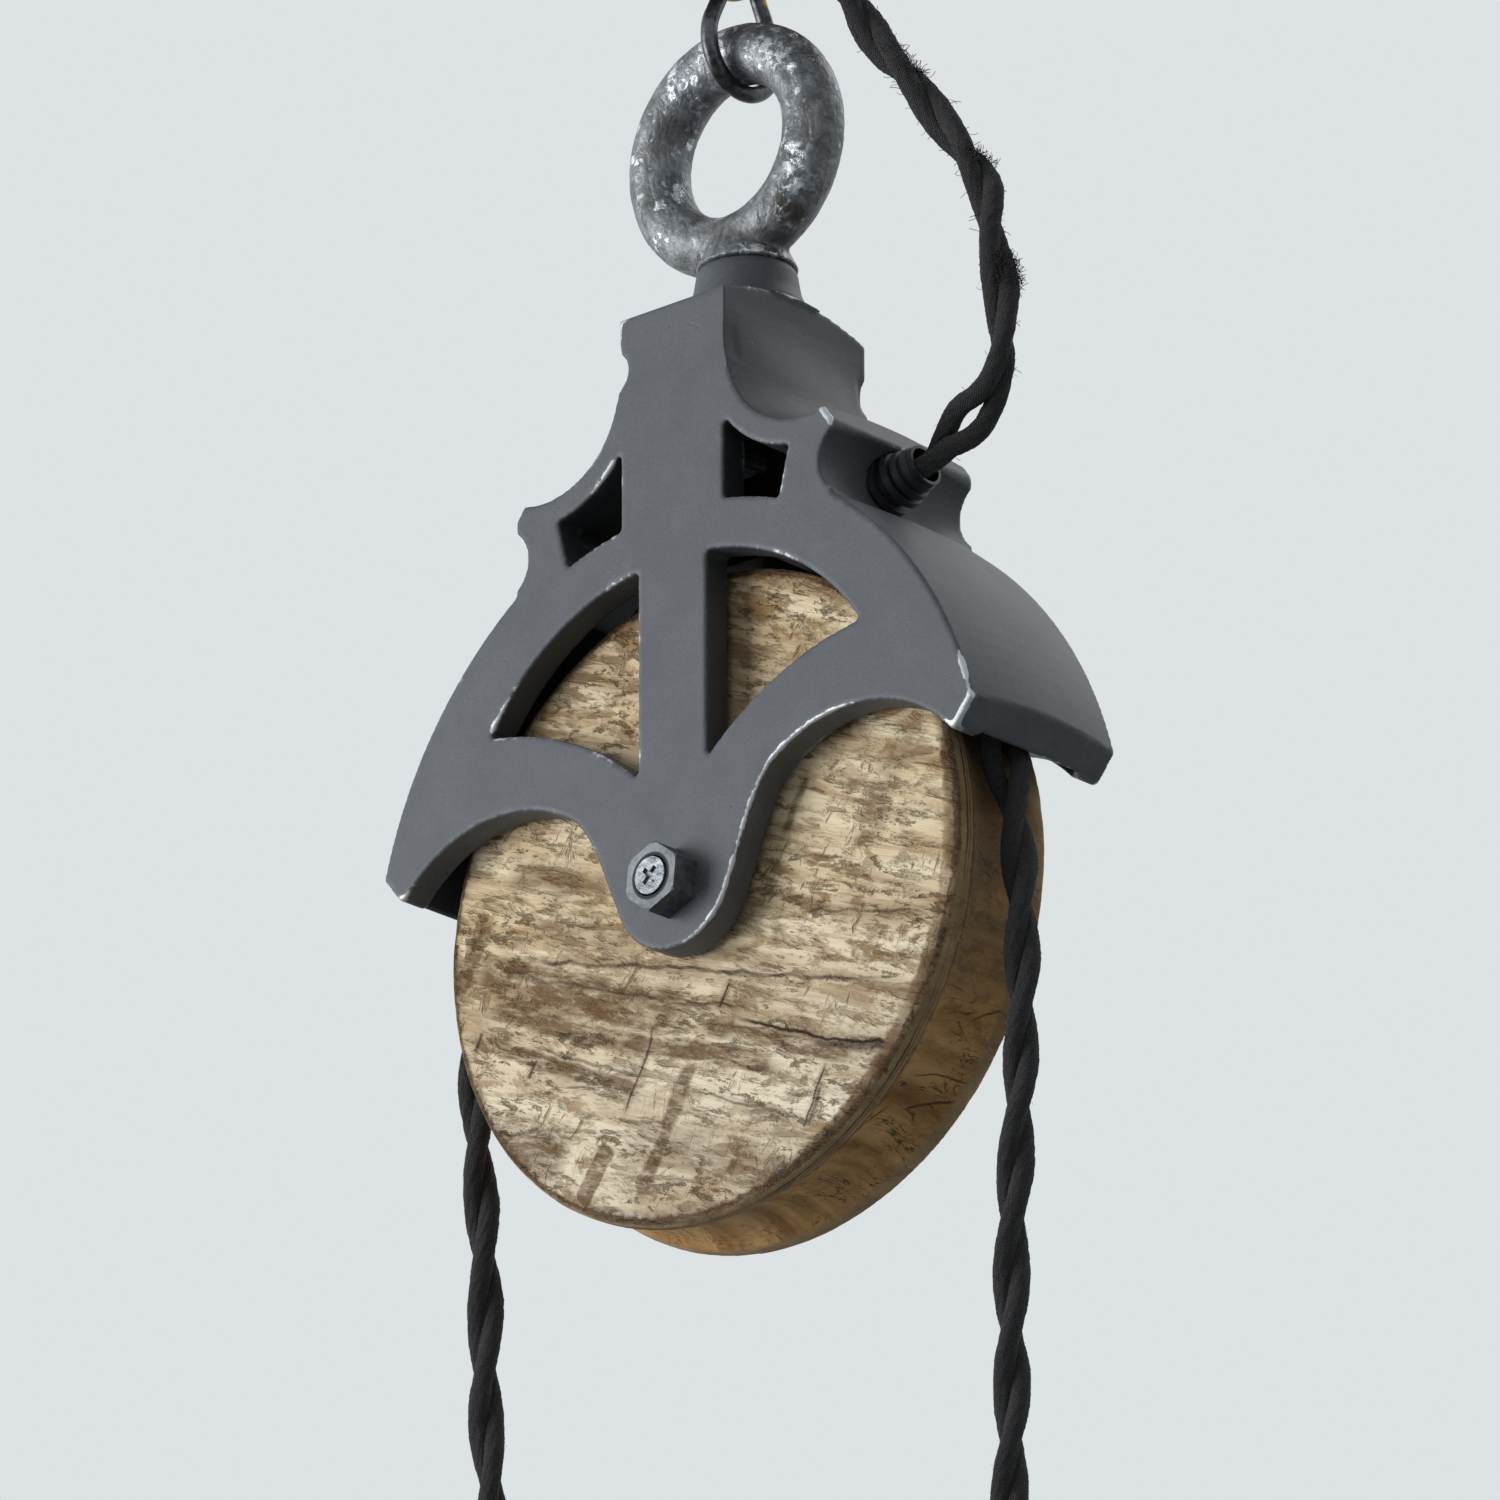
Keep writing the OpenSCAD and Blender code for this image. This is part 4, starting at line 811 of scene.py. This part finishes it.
frameCasting = softened(freshCopy("frame_casting", "frameCasting"), casting)
mesh = frameCasting.data
co = fairCrown(spotsOf(mesh))
x, y, z = inMillimetres(co)
crownShare = eased((z - 96) / 6) * eased((132.5 - z) / 2) * eased((y + 21) / 2.4) * (np.abs(x) < 40)
co = relaxed(mesh, co, 16, 0.51, crownShare[:, None])
moveTo(mesh, co)
keepEdges(mesh, casting)
# painted shade for the hood and the scoop, kept on the mesh for the material
keepValue(mesh, "hollow", hollows(co))
finish(thinned(frameCasting, casting["thin"]), "casting", "frame", "frame_casting")

# ---- the eye ----

eyeBolt = {"voxel": 0.0005, "rounds": 4, "wearAndHighlight": 6.0, "dent": 0.0004, "cell": 310.0, "dentFrom": 0.1445,
           "footAt": (0.75, 0.66, 148.1), "footWide": 0.0110, "footNarrow": 0.0062, "footHigh": 0.010}
eyePiece = freshCopy("eye_bolt", "hammeredEye")
work = bmesh.new()
work.from_mesh(eyePiece.data)
foot = bmesh.ops.create_cone(work, cap_ends=True, segments=64, radius1=eyeBolt["footWide"],
                             radius2=eyeBolt["footNarrow"], depth=eyeBolt["footHigh"])
bmesh.ops.translate(work, verts=foot["verts"], vec=place(*eyeBolt["footAt"]))
work.to_mesh(eyePiece.data)
work.free()
mesh = softened(eyePiece, eyeBolt).data
co, dents = spotsOf(mesh), []
for p in co:
    near, cells = noise.voronoi(Vector(p) * eyeBolt["cell"])
    tilt = noise.noise_vector(cells[0] * 7.3)
    dents.append(0.7 * tilt.dot(Vector(p) * eyeBolt["cell"] - cells[0]) - 0.5 * min(near[0], 0.6) ** 2)
amount = eased((co[:, 2] - axleHeight - eyeBolt["dentFrom"]) / 0.004)
amount *= 0.35 + 0.65 * np.array([noise.noise(Vector(p) * 40) * 0.5 + 0.5 for p in co])
moveTo(mesh, co + normalsOf(mesh) * (np.array(dents) * amount * eyeBolt["dent"])[:, None])
keepEdges(mesh, eyeBolt)
finish(eyePiece, "eye", "frame", "eye_bolt")

# ---- the sheave ----

sheave = {"voxel": 0.00095, "rounds": 4, "wave": 0.0001}
wheel = softened(freshCopy("sheave", "woodSheave"), sheave)
mesh = wheel.data
co = spotsOf(mesh)
rolling = np.array([noise.noise(Vector(p) * 90) + 0.5 * noise.noise(Vector(p) * 300) for p in co])
moveTo(mesh, co + normalsOf(mesh) * rolling[:, None] * sheave["wave"])
finish(wheel, "wood", "sheave", "sheave")

# ---- the rest ----

plain = {"zinc": ["eye_washer", "eye_nut", "ceiling_plate", "head_washer", "side_washers", "block_screw",
                  "grip_screws"],
         "brass": ["ceiling_hook", "hook_nut", "sheave_bush", "terminal_screws", "drop_grip_left", "drop_grip_right",
                   "drop_nipple_left", "drop_nipple_right"],
         "rose": ["rose_cover", "rose_gland"], "block": ["rose_terminal", "terminal_block"], "ring": ["ring_link"],
         "boltEnd": ["axle_bolt"], "nut": ["axle_nut"], "rubber": ["cord_grommet"]}
for material, nodes in plain.items():
    for node in nodes:
        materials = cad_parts[node].data.materials
        materials.clear()
        materials.append(finishes[material])

# ---- fuzz on the cloth, threads on the nipples ----


def newTree(name, inputs):
    tree = bpy.data.node_groups.new(name, "GeometryNodeTree")
    names = {}
    for label, kind in {"Geometry": "Geometry", **inputs}.items():
        socket = tree.interface.new_socket(name=label, in_out="INPUT", socket_type="NodeSocket" + kind)
        names[label] = socket.identifier
    tree.interface.new_socket(name="Geometry", in_out="OUTPUT", socket_type="NodeSocketGeometry")
    return tree, names, tree.nodes.new("NodeGroupInput").outputs


def grown(piece, tree, names, values):  # runs a tree on a piece and keeps the result as a plain mesh
    grow = piece.modifiers.new(tree.name, "NODES")
    grow.node_group = tree
    for label, value in values.items():
        grow[names[label]] = value
    return settled(piece)


def closed(tree, parts, material):  # joins what a tree made, and gives it out in one material
    both = tree.nodes.new("GeometryNodeJoinGeometry")
    for part in parts:
        plug(part, both.inputs[0])
    real = add(tree, "GeometryNodeRealizeInstances", {0: both.outputs[0]})
    done = add(tree, "GeometryNodeSetMaterial", {"Geometry": real.outputs[0], "Material": material})
    plug(done.outputs[0], tree.nodes.new("NodeGroupOutput").inputs[0])


fuzzTree, fuzzNames, a = newTree("cordFuzz", {"Density": "Float", "Longest": "Float", "Thin": "Float", "Seed": "Int",
                                              "Cloth": "Material"})
tuft = add(fuzzTree, "GeometryNodeInputNamedAttribute", {"Name": "tuft"}, data_type="FLOAT").outputs["Attribute"]
roots = add(fuzzTree, "GeometryNodeDistributePointsOnFaces", {
    "Mesh": a["Geometry"], "Seed": a["Seed"], "Density": times(tuft, a["Density"])}, distribute_method="RANDOM")
line = add(fuzzTree, "GeometryNodeCurvePrimitiveLine", {"Start": (0, 0, 0), "End": (0, 0, 1)})
line = add(fuzzTree, "GeometryNodeResampleCurve", {"Curve": line.outputs[0], "Count": 5})
t = add(fuzzTree, "GeometryNodeSplineParameter").outputs["Factor"]
curve = joined(times(t, t, 0.55), 0.0, times(t, t, -0.25))
line = add(fuzzTree, "GeometryNodeSetPosition", {"Geometry": line.outputs[0], "Offset": curve})
line = add(fuzzTree, "GeometryNodeSetCurveRadius", {"Curve": line.outputs[0], "Radius": scaled(t, -0.75, 1.0)})
ring = add(fuzzTree, "GeometryNodeCurvePrimitiveCircle", {"Resolution": 3, "Radius": a["Thin"]})
hair = add(fuzzTree, "GeometryNodeCurveToMesh", {
    "Curve": line.outputs[0], "Profile Curve": ring.outputs[0], "Fill Caps": True})
lean = add(fuzzTree, "FunctionNodeRandomValue", {
    0: (-1.2, -1.2, 0), 1: (1.2, 1.2, 6.28), "Seed": a["Seed"]}, data_type="FLOAT_VECTOR")
lean = add(fuzzTree, "FunctionNodeEulerToRotation", {0: lean.outputs[0]})
lean = add(fuzzTree, "FunctionNodeRotateRotation", {0: roots.outputs["Rotation"], 1: lean.outputs[0]},
           rotation_space="LOCAL")
long = add(fuzzTree, "FunctionNodeRandomValue", {2: 0.2, 3: 1.0, "Seed": a["Seed"]}, data_type="FLOAT")
put = add(fuzzTree, "GeometryNodeInstanceOnPoints", {
    "Points": roots.outputs["Points"], "Instance": hair.outputs[0], "Rotation": lean.outputs[0],
    "Scale": times(sums("POWER", long.outputs[1], 1.8), a["Longest"])})
closed(fuzzTree, (put.outputs[0], a["Geometry"]), a["Cloth"])

fuzz = {"supply": {"Density": 7e6, "Longest": 0.0026}, "drop": {"Density": 3e6, "Longest": 0.001}, "thin": 0.03,
        "everywhere": {"supply": 0.012, "drop": 0.03}, "bare": (88.8, 7),
        "tufts": [(121, 2.2, 1.0), (125, 1.5, 0.8), (150.5, 1.5, 0.8), (176, 1.6, 0.7), (181, 1.2, 0.5),
                  (101, 1.5, 0.25)]}
outside = supplyMiddle[len(supplyMiddle) // 4:]
for count, (name, cord) in enumerate(cords.items()):
    kind = "supply" if name.startswith("supply") else "drop"
    x, y, z = inMillimetres(spotsOf(cord.data))
    amount = np.full(len(x), fuzz["everywhere"][kind])
    if kind == "supply":
        middle = np.interp(z, outside[:, 2], outside[:, 0])
        for at, reach, share in fuzz["tufts"]:
            amount += share * np.exp(-((z - at) / reach) ** 2) * eased((x - middle) / 3)
        amount *= 1 - np.exp(-((z - fuzz["bare"][0]) / fuzz["bare"][1]) ** 2)
        amount *= eased((x - 42) / 4) + (z > 120)
    keepValue(cord.data, "tuft", np.clip(amount, 0, 1))
    grown(cord, fuzzTree, fuzzNames, {**fuzz[kind], "Thin": fuzz["thin"], "Seed": 4 + count,
                                      "Cloth": finishes["cloth"]})
print("fuzz", {n: len(c.data.polygons) for n, c in cords.items()})

threadTree, threadNames, a = newTree("nippleThreads", {
    "Turns": "Float", "Radius": "Float", "Height": "Float", "Ridge": "Float", "Left": "Vector", "Right": "Vector",
    "Metal": "Material"})
spiral = add(threadTree, "GeometryNodeCurveSpiral", {"Resolution": 40, "Rotations": a["Turns"], "Height": a["Height"],
                                                     "Start Radius": a["Radius"], "End Radius": a["Radius"]})
ridge = add(threadTree, "GeometryNodeCurvePrimitiveCircle", {"Resolution": 4, "Radius": a["Ridge"]})
coil = add(threadTree, "GeometryNodeCurveToMesh", {
    "Curve": spiral.outputs[0], "Profile Curve": ridge.outputs[0], "Fill Caps": True}).outputs[0]
closed(threadTree, [add(threadTree, "GeometryNodeTransform", {"Geometry": coil, "Translation": a[end]}).outputs[0]
                    for end in ("Left", "Right")], a["Metal"])
threads = {"Turns": 7.0, "Radius": 0.0049, "Height": 0.0068, "Ridge": 0.00045}
below = 17.4  # from a drop's end down to the foot of its thread
nippleThreads = newPiece("nippleThreads", [(0, 0, 0)], [])
ends = {"Left": place(-69.7, 0, -128 - below), "Right": place(69.3, 0, -165 - below)}
grown(nippleThreads, threadTree, threadNames, {**threads, **ends, "Metal": finishes["brass"]})
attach(nippleThreads, "frame")
print("threads", len(nippleThreads.data.polygons))

# ---- floor, backdrop and light ----

studio = {"pale": shade(221, 226, 228), "ambient": 0.24, "key": 34, "rim": 3.6, "floor": -4.5, "reach": 12}
world = bpy.data.worlds.new("studio")
bpy.context.scene.world = world
world.use_nodes = True
tree = world.node_tree
tree.nodes.clear()
ray = tree.nodes.new("ShaderNodeLightPath").outputs
seen = most(ray["Is Camera Ray"], ray["Is Glossy Ray"], ray["Is Transmission Ray"])
softSky = add(tree, "ShaderNodeBackground", {"Color": (1, 1, 1, 1), "Strength": studio["ambient"]}).outputs[0]
paleWall = add(tree, "ShaderNodeBackground", {"Color": studio["pale"], "Strength": 1.0}).outputs[0]
blend = add(tree, "ShaderNodeMixShader", {0: seen, 1: softSky, 2: paleWall}).outputs[0]
plug(blend, tree.nodes.new("ShaderNodeOutputWorld").inputs[0])

floorMaterial, tree, skin, _ = newMaterial("paleFloor")
skin.inputs["Base Color"].default_value = studio["pale"]
skin.inputs["Roughness"].default_value = 0.9
ray = tree.nodes.new("ShaderNodeLightPath").outputs
evenPale = add(tree, "ShaderNodeEmission", {"Color": studio["pale"], "Strength": 1.0}).outputs[0]
blend = add(tree, "ShaderNodeMixShader", {0: ray["Is Camera Ray"], 1: skin.outputs[0], 2: evenPale}).outputs[0]
plug(blend, next(n for n in tree.nodes if n.type == "OUTPUT_MATERIAL").inputs[0])
far = studio["reach"]
corners = [(-far, -far), (far, -far), (far, far), (-far, far)]
floor = newPiece("floor", [(x, y, studio["floor"]) for x, y in corners], [(0, 1, 2, 3)])
floor.data.materials.append(floorMaterial)


def softLamp(name, at, aim, across, watts):
    lamp = bpy.data.objects.new(name, bpy.data.lights.new(name, "AREA"))
    lamp.data.size, lamp.data.energy = across, watts
    bpy.context.scene.collection.objects.link(lamp)
    lamp.location = at
    lamp.rotation_euler = (Vector(aim) - Vector(at)).to_track_quat("-Z", "Y").to_euler()


softLamp("key", (-1.35, -1.45, -0.22), (0, 0, -0.27), 1.25, studio["key"])
softLamp("rim", (0.15, 1.1, 0.85), (0, 0, -0.25), 0.8, studio["rim"])

# ---- the cords put in place ----


def declared(cord, node, middle, **end):  # hides the CAD node a cord stands for; the cord, its route and its end are not used
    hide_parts(node)


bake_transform(cords["supplyCordLower"])
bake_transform(cords["supplyCordUpper"])
declared(cords["supplyCordLower"], "supply_cord_lower", supplyMiddle[:joinAt + 1], far_end="object")
declared(cords["supplyCordUpper"], "supply_cord_upper", supplyMiddle[joinAt:], far_end="object")
for side, middle in (("Right", rightMiddle), ("Left", leftMiddle)):
    cord, low = cords["dropCord" + side], side.lower()
    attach(cord, "frame")
    declared(cord, "drop_cord_" + low, middle, far_end="fitting",
             with_pieces=[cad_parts["drop_grip_" + low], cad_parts["drop_nipple_" + low]])

bpy.context.scene.view_settings.view_transform = "Standard"
